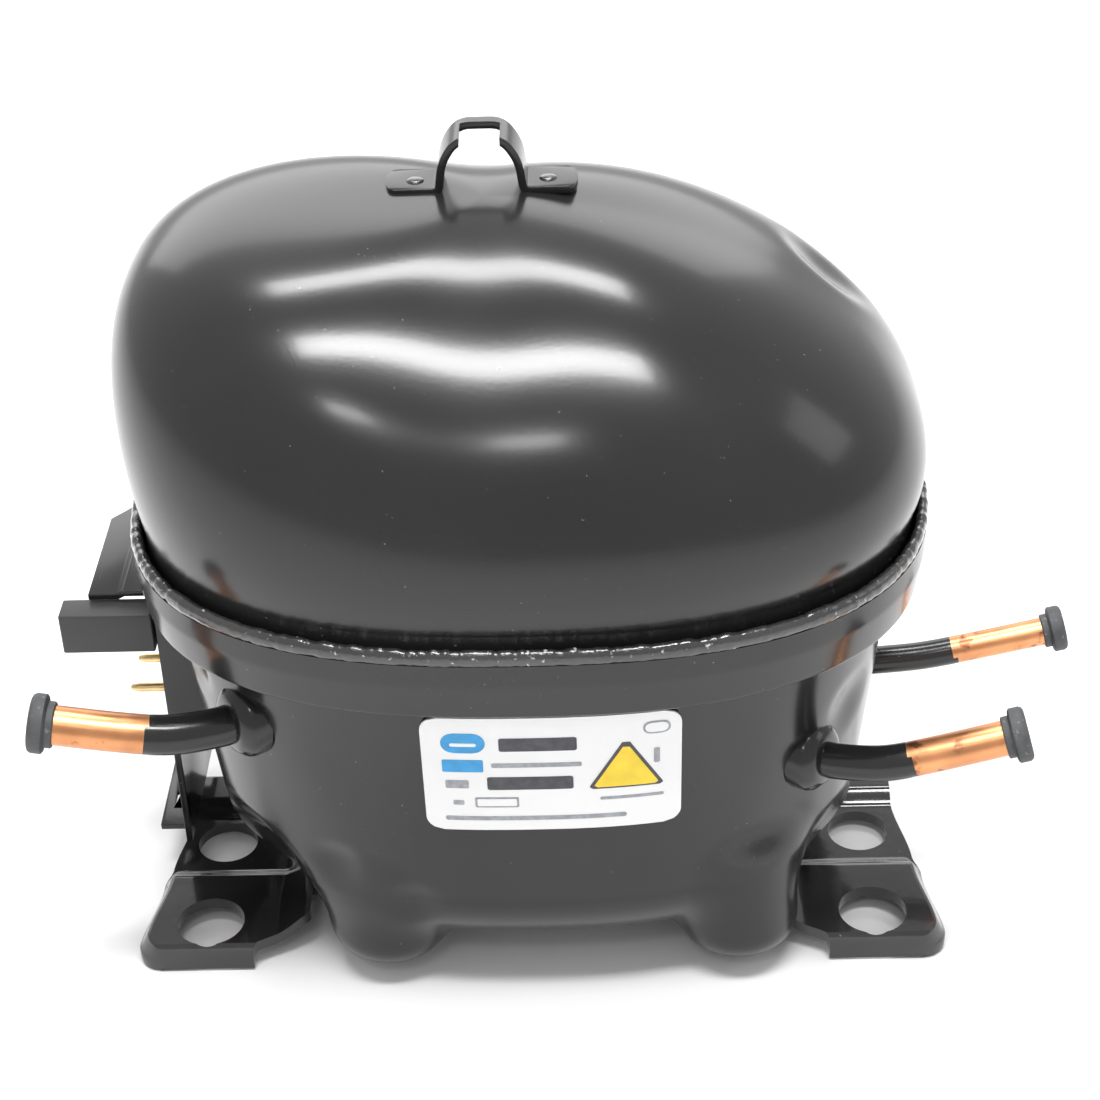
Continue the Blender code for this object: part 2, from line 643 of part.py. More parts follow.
def connection_path(angle, z, legs):
    """Start on the wall's inner side at a plan angle, then follow the legs outwards."""
    offset = wall_offset(z) - WALL
    x, y = plan_point(angle, RIM_HALF_X + offset, RIM_HALF_Y + offset)
    start = Vector((x, y, z))
    way = Vector(legs[0]).normalized()
    reach = COLLAR_REACH + 2.5 * MM
    straight = [start, start + way * reach / 2, start + way * reach]
    return straight + [start + Vector(leg) for leg in legs[1:]]


# ---------------------------------------------------------------- terminals --
def make_terminals(envelope):
    """Header cup, glass, three pins, the fence with its two tabs, and the block it carries."""
    wall_x = -(RIM_HALF_X + wall_offset(TERMINAL_Z))
    outward = (-1, 0, 0)
    centre = (wall_x, 0, TERMINAL_Z)
    cup = turned("terminal_cup", [(PIN_CIRCLE + 3 * MM, -2 * MM), (TERMINAL_CUP_RADIUS, -2 * MM),
                                  (TERMINAL_CUP_RADIUS, 1.2 * MM), (PIN_CIRCLE + 3 * MM, 1.2 * MM)],
                 STEEL, centre, outward, 28)
    cut(cup, envelope)
    glass = rod("terminal_glass", PIN_CIRCLE + 3 * MM - CLEAR, -2 * MM, 0.8 * MM, GLASS, centre, outward, 28)
    hole = rod("terminal_hole", PIN_CIRCLE + 3 * MM, -WALL - 3 * MM, 3 * MM, STEEL, centre, outward, 28)
    for k, degrees in enumerate((90, 210, 330)):
        turn = radians(degrees)
        spot = (wall_x, PIN_CIRCLE * cos(turn), TERMINAL_Z + PIN_CIRCLE * sin(turn))
        rod(f"terminal_pin_{k + 1}", PIN_RADIUS, -8 * MM, wall_x - PIN_TIP_X, BRASS, spot, outward, 12)
        cut(glass, rod(f"pin_way_{k + 1}", PIN_RADIUS + CLEAR, -9 * MM, 9 * MM, GLASS, spot, outward, 12))
    return hole


def sheet_along_y(name, path, gauge, front_y, rear_y, finish):
    """A bent strip: an (x, z) path thickened to its left and extruded from front_y to rear_y."""
    line = [Vector(p) for p in path]
    offset_line = []
    for i, here in enumerate(line):
        before = (here - line[i - 1]).normalized() if i else (line[1] - here).normalized()
        after = (line[i + 1] - here).normalized() if i < len(line) - 1 else before
        normal_a = Vector((-before.y, before.x))
        normal_b = Vector((-after.y, after.x))
        mitre = (normal_a + normal_b).normalized()
        offset_line.append(here + mitre * gauge / mitre.dot(normal_a))
    outline = line + offset_line[::-1]
    rings = [[(p.x, y, p.y) for p in outline] for y in (front_y, rear_y)]
    return loft(name, rings, finish, smooth=False)


def make_fence(envelope):
    inner = FENCE_X
    top = FENCE_TOP_Z
    bottom = FENCE_BOTTOM_Z
    path = [(inner - 9 * MM, bottom), (inner, bottom), (inner, top), (inner - 9.5 * MM, top),
            (inner - 11 * MM, top - 0.8 * MM), (inner - 18 * MM, top - 0.8 * MM)]
    fence = sheet_along_y("terminal_fence", path, FENCE_GAUGE, FENCE_FRONT_Y, FENCE_REAR_Y, BLACK_PAINT)
    cheeks = ((FENCE_FRONT_Y, bottom + 32 * MM), (FENCE_REAR_Y - FENCE_GAUGE, bottom + 18 * MM))
    for k, (y, low) in enumerate(cheeks):
        cheek = box(f"fence_cheek_{k}", (inner - 1 * MM, y, low),
                    (inner + 24 * MM, y + FENCE_GAUGE, BELL_Z - 8 * MM), BLACK_PAINT)
        join(fence, cheek)
    window = box("fence_window", (inner - 3 * MM, -PIN_CIRCLE - 4 * MM, TERMINAL_Z - PIN_CIRCLE - 4 * MM),
                 (inner + 3 * MM, PIN_CIRCLE + 4 * MM, TERMINAL_Z + PIN_CIRCLE + 4 * MM), BLACK_PAINT)
    slot = box("fence_slot", (inner - 6.5 * MM, -2 * MM, bottom - 5 * MM),
               (inner - 1.8 * MM, 5 * MM, bottom + 5 * MM), BLACK_PAINT)
    outside = inner - FENCE_GAUGE
    far = outside - 30 * MM
    behind = FENCE_REAR_Y + 1 * MM
    slant = [(far, TAB_REAR_Y - 14 * MM), (outside - 5 * MM, behind), (far, behind)]
    cut(fence, box("bottom_tab_rear", (far, TAB_REAR_Y, bottom - 6 * MM),
                   (outside, behind, bottom + 6 * MM), BLACK_PAINT),
        prism("top_tab_slant", slant, top - 6 * MM, top + 6 * MM, BLACK_PAINT))
    for k, z in enumerate((bottom, top)):
        cut(fence, box(f"tab_front_{k}", (far, FENCE_FRONT_Y - 1 * MM, z - 6 * MM),
                       (outside, TAB_FRONT_Y, z + 6 * MM), BLACK_PAINT))
    cut(fence, window, slot, envelope)
    block_top = top - 0.8 * MM - FENCE_GAUGE - CLEAR
    low = (inner - BLOCK_LENGTH, FENCE_FRONT_Y - 1.5 * MM, block_top - BLOCK_HEIGHT)
    high = (inner - FENCE_GAUGE - CLEAR, FENCE_FRONT_Y - 1.5 * MM + BLOCK_DEPTH, block_top)
    box("terminal_block", low, high, PLASTIC)
    return fence


def make_top_bracket():
    """A hat-shaped strap on the crown, with a notch in its top for a cover's hook."""
    foot_z = DOME_BASE_Z + DOME_HEIGHT - BRACKET_SINK
    top_z = foot_z + BRACKET_RISE
    half = [
        (BRACKET_HALF_SPAN, foot_z),
        (BRACKET_LEG_X + 1.5 * MM, foot_z),
        (BRACKET_LEG_X, foot_z + 1.8 * MM),
        (BRACKET_TOP_X + 2 * MM, top_z - 4 * MM),
        (BRACKET_TOP_X, top_z - 1 * MM),
        (BRACKET_TOP_X - 2 * MM, top_z),
    ]
    path = [(BRACKET_X - x, z) for x, z in half] + [(BRACKET_X + x, z) for x, z in reversed(half)]
    strap = sheet_along_y("top_bracket", path, BRACKET_GAUGE, *BRACKET_Y, BLACK_PAINT)
    notch = box("bracket_notch", (BRACKET_X - NOTCH_HALF, BRACKET_Y[0] - 2 * MM, top_z - 5 * MM),
                (BRACKET_X + NOTCH_HALF, BRACKET_Y[1] - NOTCH_BAND, top_z + 5 * MM), BLACK_PAINT)
    crown = loft("crown_trim", dome_rings(CLEAR, SKIRT_Z), BLACK_PAINT)
    return cut(strap, notch, crown)


# ------------------------------------------------------------ pump and motor --
def octagon(half, corner, centre_x):
    near = half - corner
    flat = [(half, -near), (half, near), (near, half), (-near, half),
            (-half, near), (-half, -near), (-near, -half), (near, -half)]
    return [(x + centre_x, y) for x, y in flat]


def make_motor():
    """Laminated stator, its two winding heads, and the rotor on the shaft."""
    outline = octagon(STATOR_HALF, 8 * MM, PUMP_X)
    stator = prism("stator_core", outline, STATOR_BOTTOM_Z, STATOR_TOP_Z, LAMINATION)
    axis = (PUMP_X, 0, 0)
    cut(stator, rod("stator_bore", STATOR_BORE, STATOR_BOTTOM_Z - 1 * MM, STATOR_TOP_Z + 1 * MM,
                    LAMINATION, axis, steps=40))
    for k, (x, y) in enumerate(SPRING_POINTS):
        cut(stator, rod(f"stator_bolt_hole_{k}", BOLT_RADIUS + CLEAR, STATOR_BOTTOM_Z - 1 * MM,
                        STATOR_TOP_Z + 1 * MM, LAMINATION, (x, y, 0), steps=12))
    crown = WINDING_HEIGHT * 0.25
    for name, base, way in (("upper_winding", STATOR_TOP_Z, 1), ("lower_winding", STATOR_BOTTOM_Z, -1)):
        near = base + way * CLEAR
        far = base + way * WINDING_HEIGHT
        shoulder = far - way * crown
        profile = [
            (WINDING_INNER, near),
            (WINDING_OUTER, near),
            (WINDING_OUTER, shoulder),
            (WINDING_OUTER - crown, far),
            (WINDING_INNER + crown, far),
            (WINDING_INNER, shoulder),
        ]
        turned(name, profile, WINDING, axis, steps=32)
    rotor_outer = STATOR_BORE - AIR_GAP
    counterbore = HUB_RADIUS + 1.5 * MM
    shaft_fit = SHAFT_RADIUS + CLEAR
    turned("rotor", [(shaft_fit, STATOR_BOTTOM_Z - 3 * MM), (rotor_outer, STATOR_BOTTOM_Z - 3 * MM),
                     (rotor_outer, STATOR_TOP_Z + 3 * MM), (counterbore, STATOR_TOP_Z + 3 * MM),
                     (counterbore, HUB_BOTTOM_Z - 2 * MM), (shaft_fit, HUB_BOTTOM_Z - 2 * MM)],
           ALUMINIUM, axis, steps=40)


def make_casting():
    """Pump frame: a plate on four legs, the shaft's bearing hub and the cylinder."""
    casting = prism("crankcase", octagon(STATOR_HALF, 8 * MM, PUMP_X), CASTING_Z, CASTING_TOP_Z, IRON)
    axis = (PUMP_X, 0, 0)
    join(casting, rod("hub", HUB_RADIUS, HUB_BOTTOM_Z, CASTING_Z + 1 * MM, IRON, axis))
    for k, (x, y) in enumerate(SPRING_POINTS):
        leg = rod(f"leg_{k}", LEG_RADIUS, STATOR_TOP_Z + CLEAR, CASTING_Z + 1 * MM, IRON, (x, y, 0), steps=16)
        join(casting, leg)
    half = HEAD_SIZE / 2
    join(casting, box("cylinder_body", (VALVE_FACE_X, -half, CASTING_TOP_Z - 1 * MM),
                      (CYLINDER_BACK_X, half, CYLINDER_Z + half), IRON))
    cut(casting, rod("cylinder_bore", CYLINDER_BORE, -1 * MM, CYLINDER_LENGTH + 1 * MM, IRON,
                     (VALVE_FACE_X, 0, CYLINDER_Z), (1, 0, 0), 32),
        rod("shaft_bore", SHAFT_RADIUS + CLEAR, HUB_BOTTOM_Z - 1 * MM, CASTING_TOP_Z + 1 * MM, IRON, axis))
    for k, (x, y) in enumerate(SPRING_POINTS):
        cut(casting, rod(f"leg_hole_{k}", BOLT_RADIUS + CLEAR, STATOR_TOP_Z - 1 * MM, CASTING_TOP_Z + 1 * MM,
                         IRON, (x, y, 0), steps=12))
    for k, (y, z) in enumerate(head_bolt_points()):
        cut(casting, rod(f"head_bolt_hole_{k}", HEAD_BOLT_RADIUS + CLEAR, -1 * MM, 12 * MM, IRON,
                         (VALVE_FACE_X, y, z), (1, 0, 0), 10))


def head_bolt_points():
    reach = HEAD_SIZE / 2 - 4.5 * MM
    return [(sy * reach, CYLINDER_Z + sz * reach) for sy in (-1, 1) for sz in (-1, 1)]


def make_crank_train():
    """Crankshaft, oil pickup, gallery plug, slide block, and the piston with its slide tube."""
    axis = Vector((PUMP_X, 0, 0))
    pin_spot = (PUMP_X - CRANK_RADIUS, 0, 0)
    shaft = rod("crankshaft", SHAFT_RADIUS, SHAFT_BOTTOM_Z, WEB_Z + 1 * MM, STEEL, axis)
    heavy = 17.5 * MM
    light = CRANK_RADIUS + CRANKPIN_RADIUS + 0.5 * MM
    outline = []
    for k in range(32):
        turn = 2 * pi * k / 32
        radius = heavy if cos(turn) > 0.1 else light
        outline.append((PUMP_X + radius * cos(turn), radius * sin(turn)))
    pin_top = CYLINDER_Z + SLIDE_BORE - 2 * MM
    join(shaft, prism("crank_web", outline, WEB_Z, WEB_TOP_Z, STEEL),
         rod("crankpin", CRANKPIN_RADIUS, WEB_Z + 1 * MM, pin_top, STEEL, pin_spot, steps=20))
    plug_spot = (PUMP_X - CRANK_RADIUS / 2, 0, SHAFT_BOTTOM_Z)
    cut(shaft, rod("gallery", GALLERY_RADIUS, -1 * MM, 8 * MM, STEEL, plug_spot, steps=16))
    rod("oil_gallery_plug", GALLERY_RADIUS - CLEAR, CLEAR, 7 * MM, BRASS, plug_spot, steps=16)

    sleeve = SHAFT_RADIUS + CLEAR
    low = SHAFT_BOTTOM_Z
    cone = [
        (sleeve, low + 7 * MM),
        (sleeve + 1.5 * MM, low + 7 * MM),
        (sleeve + 1.5 * MM, low - 2 * MM),
        (3.2 * MM, low - 8 * MM),
        (1.8 * MM, low - 8 * MM),
        (sleeve, low - 1 * MM),
    ]
    turned("oil_pickup", cone, STEEL, axis, steps=24)

    across = (0, 1, 0)
    slide_spot = (pin_spot[0], 0, CYLINDER_Z)
    block_half = 8.5 * MM
    block = rod("slide_block", SLIDE_BORE - CLEAR, -block_half, block_half, STEEL, slide_spot, across, 24)
    cut(block, rod("block_bore", CRANKPIN_RADIUS + CLEAR, CYLINDER_Z - 15 * MM, CYLINDER_Z + 15 * MM, STEEL,
                   pin_spot, steps=20))

    crown_x = VALVE_FACE_X + TOP_CLEARANCE
    piston_length = slide_spot[0] - SLIDE_BORE - 1 * MM - crown_x
    crown_spot = (crown_x, 0, CYLINDER_Z)
    piston = rod("piston", PISTON_RADIUS, 0, piston_length, IRON, crown_spot, (1, 0, 0), 32)
    reach = SLIDE_HALF_LENGTH
    join(piston, rod("slide_tube", SLIDE_RADIUS, -reach, reach, IRON, slide_spot, across, 28))
    slot_half = CRANKPIN_RADIUS + 0.6 * MM
    slot_reach = CRANK_RADIUS + CRANKPIN_RADIUS + 1 * MM
    cut(piston, rod("slide_way", SLIDE_BORE, -SLIDE_HALF_LENGTH - 1 * MM, SLIDE_HALF_LENGTH + 1 * MM, IRON,
                    slide_spot, across, 24),
        box("pin_slot", (slide_spot[0] - slot_half, -slot_reach, CYLINDER_Z - 14 * MM),
            (slide_spot[0] + slot_half, slot_reach, CYLINDER_Z), IRON))


def make_valve_gear():
    """Gasket, reeds, valve plate, cylinder head and its four bolts, outwards from the cylinder."""
    half = HEAD_SIZE / 2
    low_z = CYLINDER_Z - half
    high_z = CYLINDER_Z + half
    gasket_x = VALVE_FACE_X - CLEAR
    plate_x = gasket_x - GASKET_GAUGE - CLEAR
    head_x = plate_x - VALVE_PLATE_GAUGE - CLEAR
    port_y = 5.5 * MM
    gasket = box("valve_gasket", (gasket_x - GASKET_GAUGE, -half, low_z), (gasket_x, half, high_z), PLASTIC)
    plate = box("valve_plate", (plate_x - VALVE_PLATE_GAUGE, -half, low_z), (plate_x, half, high_z), STEEL)
    head = box("cylinder_head", (head_x - HEAD_DEPTH, -half, low_z), (head_x, half, high_z), ALUMINIUM)
    cut(gasket, rod("gasket_window", CYLINDER_BORE + 1 * MM, -3 * MM, 3 * MM, PLASTIC,
                    (gasket_x, 0, CYLINDER_Z), (1, 0, 0), 28))
    for name, y in (("suction_port", -port_y), ("discharge_port", port_y)):
        cut(plate, rod(name, 2.6 * MM, -6 * MM, 6 * MM, STEEL, (plate_x, y, CYLINDER_Z), (1, 0, 0), 16))
    for name, sy in (("suction_plenum", -1), ("discharge_plenum", 1)):
        near = sy * 1.5 * MM
        far = sy * (half - 8 * MM)
        cut(head, box(name, (head_x - HEAD_DEPTH + 3 * MM, min(near, far), CYLINDER_Z - 13 * MM),
                      (head_x + 1 * MM, max(near, far), CYLINDER_Z + 13 * MM), ALUMINIUM))
    reed_width = 3.2 * MM
    reed_tip = CYLINDER_Z + 4 * MM
    reed_root = CYLINDER_Z - 7 * MM
    suction_x = plate_x + CLEAR
    discharge_x = plate_x - VALVE_PLATE_GAUGE - CLEAR
    box("suction_reed", (suction_x, -port_y - reed_width, reed_root),
        (suction_x + REED_GAUGE, -port_y + reed_width, reed_tip), STEEL)
    box("discharge_reed", (discharge_x - REED_GAUGE, port_y - reed_width, reed_root),
        (discharge_x, port_y + reed_width, reed_tip), STEEL)
    bolt_low = head_x - HEAD_DEPTH
    for k, (y, z) in enumerate(head_bolt_points()):
        spot = (VALVE_FACE_X, y, z)
        way_radius = HEAD_BOLT_RADIUS + CLEAR
        way_low = bolt_low - VALVE_FACE_X - 1 * MM
        for target in (gasket, plate, head):
            way_name = f"{target.name}_bolt_way_{k}"
            cut(target, rod(way_name, way_radius, way_low, 1 * MM, STEEL, spot, (1, 0, 0), 10))
        reach = VALVE_FACE_X - bolt_low
        screw = [
            (0, -11 * MM),
            (HEAD_BOLT_RADIUS, -11 * MM),
            (HEAD_BOLT_RADIUS, reach + CLEAR),
            (4 * MM, reach + CLEAR),
            (4 * MM, reach + 3.5 * MM),
            (0, reach + 3.5 * MM),
        ]
        turned(f"head_bolt_{k + 1}", screw, STEEL, spot, (-1, 0, 0), 10)
    return head_x


def make_mounts_for_pump():
    """Motor bolts that end in spring studs, the four springs and their seats."""
    stud = SPRING_HIGH_Z + CLEAR
    flange_top = STATOR_BOTTOM_Z - CLEAR
    head_low = CASTING_TOP_Z + CLEAR
    inner = SPRING_MEAN_RADIUS - SPRING_WIRE - 0.6 * MM
    seat_low = LOBE_FLOOR_Z + CLEAR
    for k, (x, y) in enumerate(SPRING_POINTS):
        spot = (x, y, 0)
        bolt = [
            (0, stud - 10 * MM),
            (inner, stud - 10 * MM),
            (inner, stud),
            (SPRING_MEAN_RADIUS + 1.5 * MM, stud),
            (SPRING_MEAN_RADIUS + 1.5 * MM, flange_top),
            (BOLT_RADIUS, flange_top),
            (BOLT_RADIUS, head_low),
            (4.5 * MM, head_low),
            (4.5 * MM, head_low + 3.5 * MM),
            (0, head_low + 3.5 * MM),
        ]
        turned(f"motor_bolt_{k + 1}", bolt, STEEL, spot, steps=12)
        turned(f"spring_seat_{k + 1}", [(0, seat_low), (SPRING_MEAN_RADIUS - 2 * MM, seat_low),
                                        (SPRING_MEAN_RADIUS + 1.5 * MM, seat_low + 2 * MM),
                                        (SPRING_MEAN_RADIUS + 1.5 * MM, SPRING_LOW_Z - CLEAR),
                                        (inner, SPRING_LOW_Z - CLEAR), (inner, SPRING_LOW_Z + 7 * MM),
                                        (0, SPRING_LOW_Z + 7 * MM)],
               POLYMER, spot, steps=16)
        make_spring(f"spring_{k + 1}", x, y)


def make_spring(name, x, y):
    """A coil with closed flat ends."""
    per_turn = 10
    low = SPRING_LOW_Z + SPRING_WIRE
    high = SPRING_HIGH_Z - SPRING_WIRE
    end_rise = 2.2 * SPRING_WIRE
    total = SPRING_TURNS * per_turn
    points = []
    for k in range(total + 1):
        turn = 2 * pi * k / per_turn
        if k <= per_turn:
            z = low + end_rise * k / per_turn
        elif k >= total - per_turn:
            z = high - end_rise * (total - k) / per_turn
        else:
            part = (k - per_turn) / (total - 2 * per_turn)
            z = low + end_rise + (high - low - 2 * end_rise) * part
        points.append((x + SPRING_MEAN_RADIUS * cos(turn), y + SPRING_MEAN_RADIUS * sin(turn), z))
    bent_rod(name, points, SPRING_WIRE, STEEL, resolution=1)


def make_gas_path(head_x, discharge_inner):
    """Suction muffler beside the head, discharge muffler on the casting, and the flexible loop."""
    half = HEAD_SIZE / 2
    low_x = head_x - HEAD_DEPTH
    body = rounded_outline([(low_x, -half - 27 * MM), (low_x + 20 * MM, -half - 27 * MM),
                            (low_x + 20 * MM, -half - 1 * MM), (low_x, -half - 1 * MM)], 5 * MM, 3)
    muffler = prism("suction_muffler", body, CASTING_TOP_Z + 1 * MM, CYLINDER_Z + 14 * MM, POLYMER)
    neck = rod("muffler_neck", 3.5 * MM, -3 * MM, 10 * MM, POLYMER,
               (low_x + 12 * MM, -half - 14 * MM, CYLINDER_Z + 12 * MM), steps=14)
    join(muffler, neck)
    chamber = (PUMP_X - 28 * MM, half + 14 * MM, 0)
    can = [
        (0, CASTING_TOP_Z + CLEAR),
        (11.5 * MM, CASTING_TOP_Z + CLEAR),
        (11.5 * MM, CYLINDER_Z),
        (8 * MM, CYLINDER_Z + 4 * MM),
        (0, CYLINDER_Z + 4 * MM),
    ]
    turned("discharge_muffler", can, STEEL, chamber, steps=20)
    right = PUMP_X + STATOR_HALF
    back = STATOR_HALF + 5 * MM
    route = [(chamber[0] + 13 * MM, chamber[1], CASTING_TOP_Z + 10 * MM),
             (chamber[0] + 24 * MM, chamber[1] + 5 * MM, CASTING_TOP_Z + 9 * MM),
             (PUMP_X + 24 * MM, back - 6 * MM, CASTING_TOP_Z + 11 * MM),
             (right + 3 * MM, back - 26 * MM, CASTING_TOP_Z + 8 * MM),
             (right + 12 * MM, 6 * MM, CASTING_TOP_Z - 8 * MM),
             (right + 12 * MM, -8 * MM, CASTING_TOP_Z - 26 * MM),
             (right + 13 * MM, -4 * MM, discharge_inner.z + 9 * MM),
             (discharge_inner.x - 9 * MM, 4 * MM, discharge_inner.z + 1 * MM),
             tuple(discharge_inner - Vector((2.5 * MM, 0, 0)))]
    bent_rod("discharge_loop", smooth_path(route, 3), 2 * MM, COPPER, resolution=1)


def main():
    suction_path = connection_path(radians(215.3), 79 * MM, [
        (-8 * MM, -5.5 * MM, 0.5 * MM), (-18 * MM, -9.5 * MM, 1.8 * MM),
        (-29 * MM, -11 * MM, 3.9 * MM), (-47 * MM, -11.5 * MM, 7.3 * MM)])
    process_path = connection_path(radians(325), 64 * MM, [
        (8 * MM, -5.5 * MM, 1 * MM), (18 * MM, -9.5 * MM, 3.5 * MM),
        (29 * MM, -11 * MM, 7 * MM), (48 * MM, -11.5 * MM, 12.6 * MM)])
    discharge_path = connection_path(radians(7), 50.5 * MM, [
        (9 * MM, 0, 0.2 * MM), (21 * MM, 0, 1.4 * MM), (34 * MM, 0, 4.2 * MM), (54 * MM, 0, 9 * MM)])
    envelope = lower_envelope("lower_envelope", CLEAR)
    holes = [make_connection("suction", SUCTION_TUBE_RADIUS, suction_path, envelope),
             make_connection("process", PROCESS_TUBE_RADIUS, process_path, envelope),
             make_connection("discharge", DISCHARGE_TUBE_RADIUS, discharge_path, envelope),
             make_terminals(envelope)]
    make_upper_shell()
    make_lower_shell(holes)
    make_weld_bead()
    make_nameplate()
    make_top_bracket()
    make_fence(envelope)
    make_base_plate("left_base_plate", -1)
    make_base_plate("right_base_plate", 1)
    make_motor()
    make_casting()
    make_crank_train()
    head_x = make_valve_gear()
    make_mounts_for_pump()
    make_gas_path(head_x, discharge_path[0])


main()
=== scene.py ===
# %% [markdown]
# # A hermetic compressor, piece by piece
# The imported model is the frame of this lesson: it says how large the compressor is and where each piece sits.
# Every surface that can be seen is made again here, finer, in the same place.

# %% Load the frame
from math import cos, hypot, pi, radians, sin, sqrt

import bpy
from mathutils import Matrix, Vector, noise


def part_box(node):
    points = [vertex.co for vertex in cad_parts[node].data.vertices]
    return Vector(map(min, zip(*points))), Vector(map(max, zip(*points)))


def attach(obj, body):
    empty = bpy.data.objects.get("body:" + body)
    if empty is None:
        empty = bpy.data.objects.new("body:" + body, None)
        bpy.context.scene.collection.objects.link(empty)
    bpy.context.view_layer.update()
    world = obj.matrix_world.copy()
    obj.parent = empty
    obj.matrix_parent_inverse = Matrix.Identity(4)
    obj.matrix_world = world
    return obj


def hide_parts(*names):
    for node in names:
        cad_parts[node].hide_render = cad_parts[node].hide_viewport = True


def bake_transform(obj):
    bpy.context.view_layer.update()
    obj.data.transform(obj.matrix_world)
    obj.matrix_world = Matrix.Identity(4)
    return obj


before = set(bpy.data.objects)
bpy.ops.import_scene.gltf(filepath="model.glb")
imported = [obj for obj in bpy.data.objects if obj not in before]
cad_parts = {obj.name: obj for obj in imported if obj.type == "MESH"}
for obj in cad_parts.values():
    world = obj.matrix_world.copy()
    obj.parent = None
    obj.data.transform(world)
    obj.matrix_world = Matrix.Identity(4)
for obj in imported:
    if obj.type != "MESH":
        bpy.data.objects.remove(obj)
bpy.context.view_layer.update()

MM = 0.001
CLEAR = 0.3 * MM

# %% [markdown]
# ## Camera, floor and light
# A compressor is shown from the front and above. A moderately long lens keeps its sides nearly parallel.
# Black paint shows only what it mirrors, so the light matters more than the colour: a white room gives the
# paint its grey veil, and long softboxes over the front give the white streaks along the dome.

# %% Camera
def add_camera():
    yaw, pitch, roll = -0.022, 0.583, -0.033
    ahead = Vector((sin(yaw) * cos(pitch), cos(yaw) * cos(pitch), -sin(pitch)))
    right = Vector((cos(yaw), -sin(yaw), 0))
    up = right.cross(ahead)
    right_rolled = right * cos(roll) + up * sin(roll)
    up_rolled = up * cos(roll) - right * sin(roll)
    data = bpy.data.cameras.new("view")
    data.lens = 74.48
    data.sensor_width = 36
    data.shift_y = 0.0068
    camera = bpy.data.objects.new("view", data)
    bpy.context.scene.collection.objects.link(camera)
    turn = Matrix((right_rolled, up_rolled, -ahead)).transposed().to_4x4()
    camera.matrix_world = Matrix.Translation((0.0147, -0.4667, 0.3987)) @ turn
    bpy.context.scene.camera = camera
    return camera


camera = add_camera()
print("camera at", tuple(round(c, 3) for c in camera.matrix_world.translation))

# %% Lights
def softbox(name, spot, target, width, height, brightness):
    """A rectangular lamp that faces target. Brightness is that of its surface."""
    data = bpy.data.lights.new(name, "AREA")
    data.shape = "RECTANGLE"
    data.size = width
    data.size_y = height
    data.energy = brightness * pi * width * height
    lamp = bpy.data.objects.new(name, data)
    bpy.context.scene.collection.objects.link(lamp)
    lamp.location = spot
    lamp.rotation_euler = (Vector(target) - Vector(spot)).to_track_quat("-Z", "Y").to_euler()
    return lamp


softbox("long_softbox", (0.04, -0.34, 1.25), (0, 0, 0.15), 0.66, 0.20, 30)
softbox("rear_softbox", (-0.02, 0.45, 1.30), (0, 0, 0.15), 0.80, 0.22, 20)
softbox("low_softbox", (-0.12, -0.80, 0.98), (0, 0, 0.1), 0.16, 0.08, 20)
softbox("side_softbox", (1.3, 0.0, 0.8), (0, 0, 0.1), 0.5, 0.5, 1.5)
softbox("back_wall", (-0.2, 1.9, 0.9), (0, 0, 0.2), 2.6, 1.0, 1.6)

world = bpy.data.worlds.new("white_room")
world.use_nodes = True
world.node_tree.nodes["Background"].inputs["Color"].default_value = (1, 1, 1, 1)
world.node_tree.nodes["Background"].inputs["Strength"].default_value = 0.72
bpy.context.scene.world = world
bpy.context.scene.view_settings.view_transform = "Standard"

# %% [markdown]
# ## Finishes
# Each finish is a Principled shader with three things that a real surface has: a colour that drifts a little
# from place to place, a roughness that drifts on its own, and a fine relief. One function sets up all three,
# and each finish says how coarse and how strong they are.

# %% One recipe for a finish
def tint(colour, factor):
    return tuple(min(1, c * factor) for c in colour) + (1,)


def drifting_noise(nodes, links, where, size, detail=6):
    """Noise whose blotches are about size metres across."""
    grain = nodes.new("ShaderNodeTexNoise")
    grain.inputs["Scale"].default_value = 1 / size
    grain.inputs["Detail"].default_value = detail
    links.new(where, grain.inputs["Vector"])
    return grain.outputs["Fac"]


def ramp_between(nodes, links, factor, stops):
    ramp = nodes.new("ShaderNodeValToRGB")
    for k, (place, colour) in enumerate(stops):
        stop = ramp.color_ramp.elements[k] if k < 2 else ramp.color_ramp.elements.new(place)
        stop.position = place
        stop.color = colour
    links.new(factor, ramp.inputs["Fac"])
    return ramp.outputs["Color"]


def spread(nodes, links, factor, low, high):
    """Stretches the middle of a noise to run from low to high."""
    stretch = nodes.new("ShaderNodeMapRange")
    stretch.interpolation_type = "SMOOTHERSTEP"
    stretch.inputs["From Min"].default_value = 0.2
    stretch.inputs["From Max"].default_value = 0.8
    stretch.inputs["To Min"].default_value = low
    stretch.inputs["To Max"].default_value = high
    links.new(factor, stretch.inputs["Value"])
    return stretch.outputs["Result"]


